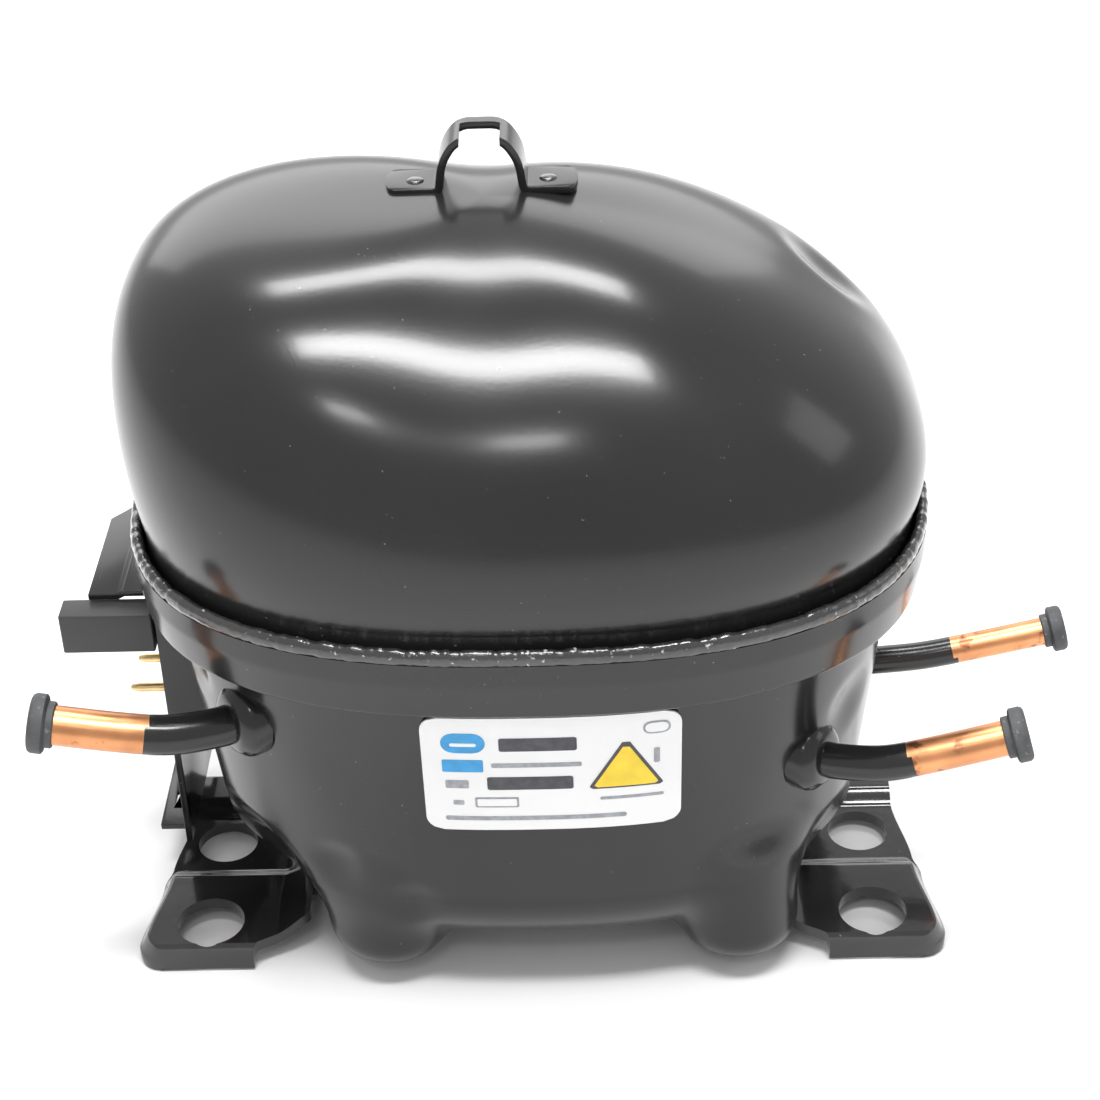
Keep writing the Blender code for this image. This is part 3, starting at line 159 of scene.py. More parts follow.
def finish(name, colour, rough, metal=0.0, coat=0.0, drift=0.25, drift_size=25 * MM, grain_size=0.8 * MM,
           relief=0.02 * MM, specks=None, stretch=None, specular=0.5):
    """A procedural finish. specks adds small spots of another colour, stretch squeezes the grain along an
    axis so that it runs in lines."""
    material = bpy.data.materials.new(name)
    material.use_nodes = True
    nodes, links = material.node_tree.nodes, material.node_tree.links
    shader = nodes["Principled BSDF"]
    place = nodes.new("ShaderNodeTexCoord").outputs["Object"]
    grain_place = place
    if stretch:
        mapping = nodes.new("ShaderNodeMapping")
        mapping.inputs["Scale"].default_value = stretch
        links.new(place, mapping.inputs["Vector"])
        grain_place = mapping.outputs["Vector"]
    patches = drifting_noise(nodes, links, place, drift_size, 2)
    grain = drifting_noise(nodes, links, grain_place, grain_size, 3)
    stops = [(0.3, tint(colour, 1 - drift)), (0.7, tint(colour, 1 + drift))]
    shade = ramp_between(nodes, links, patches, stops)
    if specks:
        speck_colour, amount, size = specks
        spots = drifting_noise(nodes, links, place, size, 8)
        mask = nodes.new("ShaderNodeMapRange")
        mask.inputs["From Min"].default_value = 1 - amount - 0.03
        mask.inputs["From Max"].default_value = 1 - amount + 0.03
        links.new(spots, mask.inputs["Value"])
        mix = nodes.new("ShaderNodeMix")
        mix.data_type = "RGBA"
        links.new(mask.outputs["Result"], mix.inputs["Factor"])
        links.new(shade, mix.inputs[6])
        mix.inputs[7].default_value = (*speck_colour, 1)
        shade = mix.outputs[2]
    links.new(shade, shader.inputs["Base Color"])
    links.new(spread(nodes, links, patches, rough * 0.88, rough * 1.12), shader.inputs["Roughness"])
    shader.inputs["Metallic"].default_value = metal
    shader.inputs["Specular IOR Level"].default_value = specular
    shader.inputs["Coat Weight"].default_value = coat
    shader.inputs["Coat Roughness"].default_value = rough * 0.5
    bump = nodes.new("ShaderNodeBump")
    bump.inputs["Distance"].default_value = relief
    bump.inputs["Strength"].default_value = 0.6
    links.new(grain, bump.inputs["Height"])
    links.new(bump.outputs["Normal"], shader.inputs["Normal"])
    return material


# %% The finishes
DUST = (0.30, 0.30, 0.29)
PAINT = finish("shell_paint", (0.013, 0.0125, 0.013), 0.21, coat=0.15, drift_size=60 * MM,
               grain_size=0.9 * MM, relief=0.02 * MM, specks=(DUST, 0.245, 0.9 * MM), specular=0.42)
PLATE_PAINT = finish("plate_paint", (0.016, 0.015, 0.016), 0.14, coat=0.5, grain_size=5 * MM,
                     relief=0.12 * MM, specks=(DUST, 0.24, 1.1 * MM))
# The weld's pale specks are painted highlights: they stand in for the sparkles of light on the bead.
WELD_PAINT_AND_SPARKLE = finish("weld_paint", (0.026, 0.025, 0.025), 0.16, coat=0.8, grain_size=1.5 * MM, relief=0.5 * MM,
                    specks=((0.50, 0.49, 0.48), 0.32, 1.8 * MM))
COPPER = finish("tube_copper", (0.66, 0.30, 0.14), 0.33, metal=1.0, drift=0.18, drift_size=9 * MM,
                grain_size=1 * MM, relief=0.02 * MM, stretch=(0.12, 1, 1),
                specks=((0.33, 0.13, 0.07), 0.36, 5 * MM))
RUBBER = finish("plug_rubber", (0.060, 0.062, 0.066), 0.62, drift=0.3, drift_size=5 * MM, grain_size=0.5 * MM,
                relief=0.05 * MM, specks=((0.16, 0.16, 0.16), 0.33, 1.2 * MM))
PLASTIC = finish("block_plastic", (0.030, 0.030, 0.031), 0.48, grain_size=0.35 * MM, relief=0.03 * MM)
STEEL = finish("bright_steel", (0.55, 0.55, 0.54), 0.32, metal=1.0, drift=0.15, grain_size=0.6 * MM,
               relief=0.02 * MM, stretch=(1, 1, 0.1))
ZINC = finish("terminal_steel", (0.50, 0.50, 0.48), 0.38, metal=1.0, drift=0.2, drift_size=4 * MM)
GLASS = finish("terminal_glass", (0.03, 0.08, 0.07), 0.08, coat=0.5, drift=0.4, drift_size=3 * MM)
BRASS = finish("pin_brass", (0.72, 0.52, 0.26), 0.28, metal=1.0, drift=0.2, drift_size=3 * MM,
               stretch=(0.1, 1, 1))
IRON = finish("cast_iron", (0.12, 0.12, 0.125), 0.62, metal=0.7, grain_size=1 * MM, relief=0.15 * MM,
              specks=((0.22, 0.22, 0.22), 0.3, 2 * MM))
ALUMINIUM = finish("cast_aluminium", (0.60, 0.61, 0.62), 0.42, metal=1.0, drift=0.1, grain_size=0.9 * MM,
                   relief=0.06 * MM)
LAMINATION = finish("stator_sheets", (0.22, 0.23, 0.25), 0.45, metal=0.9, grain_size=5 * MM, relief=0.12 * MM,
                    stretch=(0.02, 0.02, 10))
WINDING = finish("enamelled_wire", (0.52, 0.20, 0.07), 0.35, metal=0.6, coat=0.5, drift=0.3,
                 drift_size=6 * MM, grain_size=3 * MM, relief=0.3 * MM, stretch=(1, 1, 5))
POLYMER = finish("muffler_polymer", (0.62, 0.58, 0.48), 0.5, drift=0.1, grain_size=0.7 * MM, relief=0.03 * MM)
GASKET = finish("gasket_fibre", (0.10, 0.12, 0.10), 0.8, grain_size=0.4 * MM, relief=0.05 * MM)
PAPER = finish("label_paper", (0.80, 0.80, 0.80), 0.42, drift=0.02, grain_size=0.5 * MM, relief=0.008 * MM)
print(len(bpy.data.materials), "finishes")

# %% [markdown]
# ## Tools for shaping
# Pressed sheet metal starts flat, so the shells start as a flat grid too: each corner of the grid is put
# where a formula says, and the seam is merged. Turned pieces start as a disc that is extruded and scaled,
# step after step, as a lathe would cut it. Faces are turned outwards once the doubles are merged.

# %% Selecting and closing
def choose(piece):
    if bpy.context.object and bpy.context.object.mode != "OBJECT":
        bpy.ops.object.mode_set(mode="OBJECT")
    bpy.ops.object.select_all(action="DESELECT")
    piece.select_set(True)
    bpy.context.view_layer.objects.active = piece


def close_up(piece, gap=0.01 * MM):
    """Merges what meets and turns the faces outwards."""
    choose(piece)
    bpy.ops.object.mode_set(mode="EDIT")
    bpy.ops.mesh.select_all(action="SELECT")
    bpy.ops.mesh.remove_doubles(threshold=gap)
    bpy.ops.mesh.normals_make_consistent(inside=False)
    bpy.ops.object.mode_set(mode="OBJECT")


def smooth(piece, degrees=35):
    choose(piece)
    bpy.ops.object.shade_smooth_by_angle(angle=radians(degrees))


def apply(piece, kind, **settings):
    """Adds a modifier, sets it and applies it."""
    choose(piece)
    modifier = piece.modifiers.new(kind.lower(), kind)
    for key, value in settings.items():
        setattr(modifier, key, value)
    bpy.ops.object.modifier_apply(modifier=modifier.name)


def pressed(name, across, along, shape):
    """A flat grid pressed into shape: shape(u, v) gives each corner's place, u and v from 0 to 1."""
    bpy.ops.object.select_all(action="DESELECT")
    bpy.ops.mesh.primitive_grid_add(x_subdivisions=across, y_subdivisions=along, size=1)
    piece = bpy.context.object
    piece.name = name
    piece.data.name = name
    for corner in piece.data.vertices:
        corner.co = shape(corner.co.x + 0.5, corner.co.y + 0.5)
    close_up(piece)
    return piece


def turned(name, profile, centre=(0, 0, 0), axis=(0, 0, 1), sides=64):
    """A solid of revolution. The profile is (radius, height) from its first face to its last."""
    bpy.ops.object.select_all(action="DESELECT")
    radius, height = profile[0]
    bpy.ops.mesh.primitive_circle_add(vertices=sides, radius=radius, fill_type="NGON", location=(0, 0, 0))
    piece = bpy.context.object
    piece.name = name
    piece.data.name = name
    piece.data.transform(Matrix.Translation((0, 0, height)))
    bpy.ops.object.mode_set(mode="EDIT")
    bpy.ops.mesh.select_all(action="SELECT")
    for next_radius, next_height in profile[1:]:
        rise = (0, 0, next_height - height)
        bpy.ops.mesh.extrude_region_move(TRANSFORM_OT_translate={"value": rise})
        grow = next_radius / radius
        middle = (0, 0, next_height)
        bpy.ops.transform.resize(value=(grow, grow, 1), center_override=middle)
        radius, height = next_radius, next_height
    bpy.ops.object.mode_set(mode="OBJECT")
    turn = Vector((0, 0, 1)).rotation_difference(Vector(axis).normalized()).to_matrix().to_4x4()
    piece.data.transform(Matrix.Translation(centre) @ turn)
    close_up(piece)
    return piece


def coat_with(piece, *materials):
    piece.data.materials.clear()
    for material in materials:
        piece.data.materials.append(material)


def stand_in(piece, body, slot, *nodes):
    """The piece stands for these nodes and rides with the body. The slot is not used."""
    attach(piece, body)
    if nodes:
        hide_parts(*nodes)
    print(piece.name, len(piece.data.polygons), "faces")


# %% [markdown]
# ## Upper shell
# The dome is deep-drawn steel. It is boxy on its left, where the motor's high side sits, and slopes to the
# right. Its plan is a superellipse, and so is each upright section, with a power that changes round the plan.
# A formula gives all of that at once, and keeps the paint's reflections flowing without a kink.

# %% Shape of the dome
SHELL_LOW, SHELL_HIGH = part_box("upper_shell")
BEAD_LOW, BEAD_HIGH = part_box("weld_bead")
BOWL_LOW, BOWL_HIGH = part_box("lower_shell")
BEAD_SIZE = 3.4 * MM
RIM_HALF_X = BEAD_HIGH[0] - BEAD_SIZE - CLEAR
RIM_HALF_Y = BEAD_HIGH[1] - BEAD_SIZE - CLEAR
PLAN_POWER = 2.5
LIP_Z = BOWL_HIGH[2]
DOME_BASE_Z = LIP_Z + 5.5 * MM
DOME_HEIGHT = 70 * MM
DOME_LEAN = 8 * MM
print("rim half sizes in mm:", round(RIM_HALF_X / MM, 2), round(RIM_HALF_Y / MM, 2))


def plan_point(angle, half_x, half_y):
    reach = (abs(cos(angle)) / half_x) ** PLAN_POWER + (abs(sin(angle)) / half_y) ** PLAN_POWER
    radius = reach ** (-1 / PLAN_POWER)
    return radius * cos(angle), radius * sin(angle)


def dome_point(angle, level, shrink):
    toward_right = (1 + cos(angle)) / 2
    swell = (2 + 2.5 * toward_right) * MM * 6.75 * level * (1 - level) ** 2
    x, y = plan_point(angle, RIM_HALF_X + swell, RIM_HALF_Y + swell)
    return Vector((x * shrink - DOME_LEAN * level ** 2, y * shrink, DOME_BASE_Z + DOME_HEIGHT * level))


DENT_SPOT = Vector((74, 22, 160)) * MM


def dome_skin(u, v):
    """The skirt takes the first part of v and the dome the rest."""
    angle = 2 * pi * u
    skirt = 0.08
    if v < skirt:
        x, y = plan_point(angle, RIM_HALF_X, RIM_HALF_Y)
        return Vector((x, y, SHELL_LOW[2] + (DOME_BASE_Z - SHELL_LOW[2]) * v / skirt))
    turn = pi / 2 * sin(pi / 2 * (v - skirt) / (1 - skirt)) ** 2
    toward_right = (1 + cos(angle)) / 2
    power = 4.5 - 2.5 * toward_right
    power += (2.1 - power) * sin(angle) ** 2
    level = sin(turn) ** (2 / power)
    point = dome_point(angle, level, max(0, cos(turn)) ** (2 / power))
    nearness = (point - DENT_SPOT).length / (17 * MM)
    if nearness < 1:
        point -= Vector((0.75, 0.25, 0.6)) * 3 * MM * (1 - nearness ** 2) ** 2
    return point


# %% Press the dome
dome = pressed("dome", 256, 96, dome_skin)
apply(dome, "SOLIDIFY", thickness=2.6 * MM, offset=-1)
smooth(dome, 60)
coat_with(dome, PAINT)
stand_in(dome, "shell", "shell_paint", "upper_shell")

# %% [markdown]
# ## Lower shell
# The bowl widens into a bell that takes the dome's edge. Below it the wall draws in, turns under in a large
# radius, and carries four pockets for the spring seats. The pockets are pushed out of the bowl by asking, for
# each point, how far along its normal the nearest pocket still reaches, with a soft blend where they meet.

# %% Profile of the bowl
BELL_Z = LIP_Z - 14 * MM
WALL_TOP_Z = BELL_Z - 4.5 * MM
FLOOR_Z = 12 * MM
FLOOR_RADIUS = 21 * MM
WALL_FOOT_Z = FLOOR_Z + FLOOR_RADIUS
WALL_TOP_OFFSET = CLEAR - 4.5 * MM
TAPER = 6.5 * MM
POCKETS = [(x, y) for x in (-37 * MM, 49 * MM) for y in (-41 * MM, 41 * MM)]
POCKET_RADIUS = 15.5 * MM
POCKET_LOW_Z = 5 * MM


def wall_offset(z):
    return WALL_TOP_OFFSET - TAPER * (WALL_TOP_Z - z) / (WALL_TOP_Z - WALL_FOOT_Z)


BELL_END, STEP_END, WALL_END, TURN_END = 0.12, 0.22, 0.5, 0.75  # shares of the way down
BELL_CONE = 1.2 * MM


def bowl_profile(v):
    """(offset, height, shrink) down the bowl, from the lip to the middle of its floor."""
    outer = 3 * MM + CLEAR
    foot = wall_offset(WALL_FOOT_Z)
    if v < BELL_END:
        t = v / BELL_END
        return outer - BELL_CONE * max(0, t - 0.4) / 0.6, LIP_Z + (BELL_Z - LIP_Z) * t, 1
    if v < STEP_END:
        t = (v - BELL_END) / (STEP_END - BELL_END)
        ease = t * t * (3 - 2 * t)
        high = outer - BELL_CONE
        return high + (WALL_TOP_OFFSET - high) * ease, BELL_Z + (WALL_TOP_Z - BELL_Z) * t, 1
    if v < WALL_END:
        z = WALL_TOP_Z + (WALL_FOOT_Z - WALL_TOP_Z) * (v - STEP_END) / (WALL_END - STEP_END)
        return wall_offset(z), z, 1
    if v < TURN_END:
        turn = pi / 2 * (v - WALL_END) / (TURN_END - WALL_END)
        return foot - FLOOR_RADIUS * (1 - cos(turn)), WALL_FOOT_Z - FLOOR_RADIUS * sin(turn), 1
    return foot - FLOOR_RADIUS, FLOOR_Z, 1 - (v - TURN_END) / (1 - TURN_END)


def bare_bowl(u, v):
    offset, z, shrink = bowl_profile(v)
    x, y = plan_point(2 * pi * u, RIM_HALF_X + offset, RIM_HALF_Y + offset)
    return Vector((x * shrink, y * shrink, z))


# %% Pockets and pressed dents
def pocket_distance(point, x, y):
    """Distance to a round pocket with a rounded bottom that fades out near the terminals' height."""
    fillet = 9 * MM
    high = 46 * MM
    radius = POCKET_RADIUS
    aside = hypot(point.x - x, point.y - y) - (radius - fillet)
    middle = (POCKET_LOW_Z + high) / 2
    beyond = abs(point.z - middle) - ((high - POCKET_LOW_Z) / 2 - fillet)
    inside = min(max(aside, beyond), 0)
    return hypot(max(aside, 0), max(beyond, 0)) + inside - fillet


def soft_min(a, b, blend):
    mix = max(blend - abs(a - b), 0) / blend
    return min(a, b) - mix * mix * blend / 4


DENTS = (  # spot, how far it is pressed in, its reach, all in mm
    (Vector((-71, -38, 24)), 8, 24),
    (Vector((77, -36, 22)), 4, 22),
    (Vector((-48, -56, 40)), 1.6, 9),
    (Vector((-30, -63, 30)), 1.5, 10),
    (Vector((-77, -31, 86)), 1.6, 11),
    (Vector((74, -38, 74)), 1.6, 11),
)


def bowl_skin(u, v):
    step = 0.002
    spot = bare_bowl(u, v)
    round_way = bare_bowl(u + step, v) - bare_bowl(u - step, v)
    down_way = bare_bowl(u, min(v + step, 1)) - bare_bowl(u, max(v - step, 0))
    out = round_way.cross(down_way)
    if v > 0.98 or out.length < 1e-12:
        return spot
    out = -out.normalized()
    if v > 0.24:
        near = min(hypot(spot.x - x, spot.y - y) for x, y in POCKETS)
        if near < POCKET_RADIUS + 14 * MM:
            push = 0
            for _ in range(24):
                here = spot + out * push
                gap = push
                for x, y in POCKETS:
                    gap = soft_min(gap, pocket_distance(here, x, y), 5 * MM)
                if abs(gap) < 0.02 * MM:
                    break
                push = min(push - gap, 14 * MM)
            spot = spot + out * push
    for centre, depth, reach in DENTS:
        nearness = (spot - centre * MM).length / (reach * MM)
        if nearness < 1:
            spot = spot - out * depth * MM * (1 - nearness ** 2) ** 2
    return spot


# %% Press the bowl
bowl = pressed("bowl", 288, 150, bowl_skin)
apply(bowl, "SOLIDIFY", thickness=2.4 * MM, offset=-1)
smooth(bowl, 60)
coat_with(bowl, PAINT)
stand_in(bowl, "shell", "shell_paint", "lower_shell")

# %% [markdown]
# ## Weld bead
# The two shells are joined by one welded seam. A torch leaves a rope of small overlapping ripples, and the
# paint over it breaks into sparkles: its relief catches some, and pale specks in its finish are painted
# highlights for the rest. The rope follows the rim, and noise makes its ripples uneven.

# %% Lay the bead
def bead_skin(u, v):
    angle = 2 * pi * u
    around = 2 * pi * v
    circle = Vector((cos(angle), sin(angle), 0))
    ripple = noise.noise(circle * 55) * 0.55 + noise.noise(circle * 17 + Vector((3, 1, 7))) * 0.5
    reach = BEAD_SIZE / 2 * (0.84 + 0.20 * ripple)
    outward = min(BEAD_SIZE / 2 + CLEAR + reach * cos(around), BEAD_SIZE + CLEAR)
    lift = LIP_Z + BEAD_SIZE * (0.36 + 0.07 * ripple) + reach * sin(around) * 1.5
    x, y = plan_point(angle, RIM_HALF_X + outward, RIM_HALF_Y + outward)
    return Vector((x, y, lift))


bead = pressed("seam_bead", 900, 14, bead_skin)
smooth(bead, 80)
coat_with(bead, WELD_PAINT_AND_SPARKLE)
stand_in(bead, "shell", "weld_paint", "weld_bead")

# %% [markdown]
# ## Nameplate
# A white sticker with rounded corners wraps the front wall. Its print is kept generic: bars and blocks stand
# where a maker would put words. Each mark is a thin patch that follows the same wall, a hair above the paper.

# %% Patches on the wall
LABEL_LOW, LABEL_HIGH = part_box("nameplate")
LABEL_FACE = 0.8 * MM


def wall_front(x, z, lift):
    half_x = RIM_HALF_X + wall_offset(z) + lift
    half_y = RIM_HALF_Y + wall_offset(z) + lift
    return Vector((x, -half_y * (1 - (abs(x) / half_x) ** PLAN_POWER) ** (1 / PLAN_POWER), z))


def label_patch(name, low, high, corner, lift, thickness, material):
    """A rounded patch. low and high are (x, z) from the label's lower left corner, in mm."""
    x0, z0 = LABEL_LOW[0] + low[0] * MM, LABEL_LOW[2] + low[1] * MM
    x1, z1 = LABEL_LOW[0] + high[0] * MM, LABEL_LOW[2] + high[1] * MM
    radius = max(corner * MM, 0.01 * MM)

    def shape(u, v):
        z = z0 + (z1 - z0) * v
        edge = min(z - z0, z1 - z)
        inset = radius - sqrt(max(0, radius ** 2 - max(0, radius - edge) ** 2))
        left, right = x0 + inset, x1 - inset
        return wall_front(left + (right - left) * u, z, lift)

    columns = max(2, round((x1 - x0) / MM))
    rows = max(2, min(48, round((z1 - z0) / MM * (4 if corner else 1))))
    patch = pressed(name, columns, rows, shape)
    apply(patch, "SOLIDIFY", thickness=thickness, offset=-1)
    coat_with(patch, material)
    smooth(patch, 30)
    return patch


# %% The sticker and its print
INK = finish("print_ink", (0.05, 0.05, 0.06), 0.4, drift=0.3, drift_size=2 * MM)
GREY_INK = finish("print_grey", (0.30, 0.31, 0.34), 0.4, drift=0.2, drift_size=1.5 * MM)
BLUE_INK = finish("print_blue", (0.03, 0.30, 0.62), 0.4, drift=0.12, drift_size=3 * MM)
YELLOW_INK = finish("print_yellow", (0.85, 0.60, 0.03), 0.4, drift=0.08, drift_size=4 * MM)

sticker = label_patch("sticker", (0, 0), (58.5, 35), 4, LABEL_FACE, 0.45 * MM, PAPER)
stand_in(sticker, "shell", "label", "nameplate")
MARKS = (  # name, low, high, corner, ink
    ("oval_mark", (4.5, 24.5), (14.5, 30.5), 3, BLUE_INK),
    ("oval_band", (6.5, 26.6), (12.5, 27.6), 0.4, PAPER),
    ("title_bar", (17.5, 25), (35, 29), 0.5, INK),
    ("corner_mark", (49.8, 28.5), (56, 32.3), 1.8, GREY_INK),
    ("corner_mark_fill", (50.3, 29), (55.5, 31.8), 1.4, PAPER),
    ("blue_bar", (4.5, 18.6), (13.8, 22.4), 0.3, BLUE_INK),
    ("data_bar", (15.6, 20), (36, 21.3), 0.3, GREY_INK),
    ("number_mark", (5, 13.5), (10.3, 16), 0.3, GREY_INK),
    ("number_bar", (14.5, 13), (34, 17), 0.5, INK),
    ("small_mark", (6.5, 8.2), (9, 9.6), 0.2, GREY_INK),
    ("box_mark", (11.5, 7.4), (21.5, 10.6), 0.3, GREY_INK),
    ("box_fill", (12, 7.9), (21, 10.1), 0.2, PAPER),
    ("maker_bar", (4.5, 3.2), (46, 4.5), 0.4, GREY_INK),
    ("side_bar", (52.2, 19.5), (53.6, 24), 0.3, GREY_INK),
    ("under_bar", (40, 9), (54.5, 9.9), 0.3, GREY_INK),
)
for name, low, high, corner, ink in MARKS:
    lift = LABEL_FACE + (0.16 if ink is PAPER else 0.08) * MM
    mark = label_patch(name, low, high, corner, lift, 0.06 * MM, ink)
    stand_in(mark, "shell", "label")


def triangle_patch(name, middle, half, lift, material):
    """A triangle with blunt corners that points up, middle and half width in mm."""
    def shape(u, v):
        z = LABEL_LOW[2] + (middle[1] + half * (1.6 * v - 0.62)) * MM
        reach = half * (0.10 + 0.90 * (1 - v)) * min(1, 0.86 + v * 3)
        return wall_front(LABEL_LOW[0] + (middle[0] + reach * (2 * u - 1)) * MM, z, lift)
    patch = pressed(name, 12, 24, shape)
    apply(patch, "SOLIDIFY", thickness=0.06 * MM, offset=-1)
    coat_with(patch, material)
    stand_in(patch, "shell", "label")


triangle_patch("triangle_rim", (46, 18), 8.8, LABEL_FACE + 0.08 * MM, INK)
triangle_patch("triangle_fill", (46, 17.8), 7.6, LABEL_FACE + 0.16 * MM, YELLOW_INK)

# %% [markdown]
# ## Foot plates
# Each foot is one stamping, 3 mm thick: two raised pads with a bolt hole each, a recess between them, and a
# flange that rises to the shell's floor and is welded there. The grid's height is the sum of soft steps, the
# outline draws in beside the recess, and the holes are cut afterwards.

# %% Shape of a foot
PLATE_LOW, PLATE_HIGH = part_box("right_base_plate")
PLATE_OUTER_X = PLATE_HIGH[0]
PLATE_FRONT_Y = PLATE_LOW[1]
PLATE_REAR_Y = PLATE_HIGH[1]
HOLE_X = PLATE_OUTER_X - 18 * MM
PAD_Z, RECESS_Z, PLATE_GAUGE = 8 * MM, 5 * MM, 3 * MM


def soft_step(value, start, end):
    t = min(1, max(0, (value - start) / (end - start)))
    return t * t * (3 - 2 * t)


def foot_outer_x(y):
    """Outer edge of the foot: rounded at the front, drawn in at the recess and behind it."""
    corner = 6.5 * MM
    edge = PLATE_OUTER_X - 3.2 * MM * soft_step(y, PLATE_FRONT_Y + 5 * MM, -20 * MM)
    edge -= 1.8 * MM * soft_step(y, -20 * MM, -15 * MM) + 3 * MM * soft_step(y, -16 * MM, 7 * MM)
    into = PLATE_FRONT_Y + corner - y
    if into > 0:
        edge -= corner - sqrt(max(0, corner ** 2 - into ** 2))
    behind = y - (PLATE_REAR_Y - corner)
    if behind > 0:
        edge -= corner - sqrt(max(0, corner ** 2 - behind ** 2))
    return edge


def foot_inner_x(y):
    """Inner edge: it slants from the front corner to the pocket, then runs under the floor."""
    slant = HOLE_X - 11.5 * MM - 14 * MM * soft_step(y, PLATE_FRONT_Y, -38 * MM)
    return min(slant, HOLE_X - 11.5 * MM) - 14 * MM * soft_step(y, -30 * MM, -22 * MM)


def foot_height(x, y):
    front_pad = soft_step(-y, 15 * MM, 21 * MM)
    pad = max(front_pad, soft_step(y, 5.5 * MM, 11 * MM))
    z = RECESS_Z + (PAD_Z - RECESS_Z) * pad
    front_edge = soft_step(-y, -PLATE_FRONT_Y - 1.4 * MM, -PLATE_FRONT_Y + 0.3 * MM)
    rear_edge = soft_step(y, PLATE_REAR_Y - 4 * MM, PLATE_REAR_Y)
    side_edge = soft_step(x, foot_outer_x(y) - 3 * MM, foot_outer_x(y) + 0.3 * MM) * front_pad
    z -= 4.6 * MM * max(front_edge, rear_edge, side_edge)
    rise = soft_step(x, 67 * MM, 57 * MM)
    return z + (11.6 * MM - z) * rise


def foot_skin(side):
    def shape(u, v):
        y = PLATE_FRONT_Y + (PLATE_REAR_Y - PLATE_FRONT_Y) * v
        inner, outer = foot_inner_x(y), foot_outer_x(y)
        x = inner + (outer - inner) * u
        return Vector((side * x, y, max(foot_height(x, y), PLATE_GAUGE + 0.05 * MM)))
    return shape


# %% Stamp, pierce and paint both feet
def face_up(sheet):
    """Turns an open sheet's faces upwards, so that a wall is added below it."""
    choose(sheet)
    upward = sum(face.normal.z * face.area for face in sheet.data.polygons)
    if upward < 0:
        bpy.ops.object.mode_set(mode="EDIT")
        bpy.ops.mesh.select_all(action="SELECT")
        bpy.ops.mesh.flip_normals()
        bpy.ops.object.mode_set(mode="OBJECT")


def give_underside(sheet, gauge):
    """Adds the underside straight below the top, so that tight edges don't fold into themselves."""
    count = len(sheet.data.vertices)
    apply(sheet, "SOLIDIFY", thickness=gauge, offset=-1)
    corners = sheet.data.vertices
    for k in range(count):
        corners[count + k].co = corners[k].co - Vector((0, 0, gauge))
    close_up(sheet)


def pierce(piece, x, y, radius):
    """Cuts a round hole straight down."""
    bpy.ops.object.select_all(action="DESELECT")
    bpy.ops.mesh.primitive_cylinder_add(vertices=72, radius=radius, depth=40 * MM, location=(x, y, 5 * MM))
    punch = bpy.context.object
    apply(piece, "BOOLEAN", operation="DIFFERENCE", object=punch)
    bpy.data.objects.remove(punch)


for name, side in (("left", -1), ("right", 1)):
    foot = pressed(f"{name}_foot", 110, 150, foot_skin(side))
    face_up(foot)
    give_underside(foot, PLATE_GAUGE)
    pierce(foot, side * HOLE_X, -38 * MM, 8.5 * MM)
    pierce(foot, side * HOLE_X, -4 * MM, 7.8 * MM)
    smooth(foot, 50)
    coat_with(foot, PLATE_PAINT)
    stand_in(foot, "shell", "shell_paint", f"{name}_base_plate")

# %% [markdown]
# ## Tubes, collars and rubber plugs
# Three copper stubs leave the shell. Each is brazed into a small collar and painted with the shell as far as
# the masking reached, and bare copper beyond. The tube is a grid rolled round its path, with the paint given
# to the faces near the root. A rubber plug closes each end against moisture.

# %% Paths of the tubes
def smooth_path(points, steps=12):
    anchors = [Vector(p) for p in points]
    ends = [anchors[0] * 2 - anchors[1]] + anchors + [anchors[-1] * 2 - anchors[-2]]
    path = []
    for i in range(1, len(ends) - 2):
        a, b, c, d = ends[i - 1:i + 3]
        for k in range(steps):
            t = k / steps
            path.append(0.5 * (2 * b + (c - a) * t + (2 * a - 5 * b + 4 * c - d) * t ** 2
                               + (3 * b - a - 3 * c + d) * t ** 3))
    path.append(anchors[-1])
    return path


def tube_path(angle, z, legs):
    offset = wall_offset(z) - 3 * MM
    x, y = plan_point(angle, RIM_HALF_X + offset, RIM_HALF_Y + offset)
    start = Vector((x, y, z))
    way = Vector(legs[0]).normalized()
    reach = 9.5 * MM
    straight = [start, start + way * reach / 2, start + way * reach]
    return smooth_path(straight + [start + Vector(leg) * MM for leg in legs[1:]])


TUBES = {  # radius, path, share of the length that is painted
    "suction": (4.7 * MM, tube_path(radians(215.3), 79 * MM, [
        (-8, -5.5, 0.5), (-18, -9.5, 1.8), (-29, -11, 3.9), (-47, -11.5, 7.3)]), 0.70),
    "process": (4.2 * MM, tube_path(radians(325), 64 * MM, [
        (8, -5.5, 1), (18, -9.5, 3.5), (29, -11, 7), (48, -11.5, 12.6)]), 0.71),
    "discharge": (3.6 * MM, tube_path(radians(7), 50.5 * MM, [
        (9, 0, 0.2), (21, 0, 1.4), (34, 0, 4.2), (54, 0, 9)]), 0.72),
}

# %% Roll the tubes
BARE_SHARE = 0.985  # bare tube against painted tube


def roll_tube(name, path, radius, painted):
    count = len(path) - 1

    def shape(u, v):
        place = min(count, round(v * count))
        before, after = path[max(0, place - 1)], path[min(count, place + 1)]
        way = (after - before).normalized()
        side = way.cross(Vector((0, 0, 1))).normalized()
        up = side.cross(way)
        coated = 1 if v <= painted else BARE_SHARE
        return path[place] + (side * cos(2 * pi * u) + up * sin(2 * pi * u)) * radius * coated

    tube = pressed(name, 48, count, shape)
    coat_with(tube, PAINT, COPPER)
    edge = round(painted * count)
    for face in tube.data.polygons:
        near = min(range(count + 1), key=lambda k: (path[k] - face.center).length)
        face.material_index = 1 if near > edge else 0
    apply(tube, "SOLIDIFY", thickness=0.8 * MM, offset=-1)
    smooth(tube, 50)
    length = sum((after - before).length for before, after in zip(path, path[1:]))
    print(name, "is", round(length / MM), "mm long")
    return tube


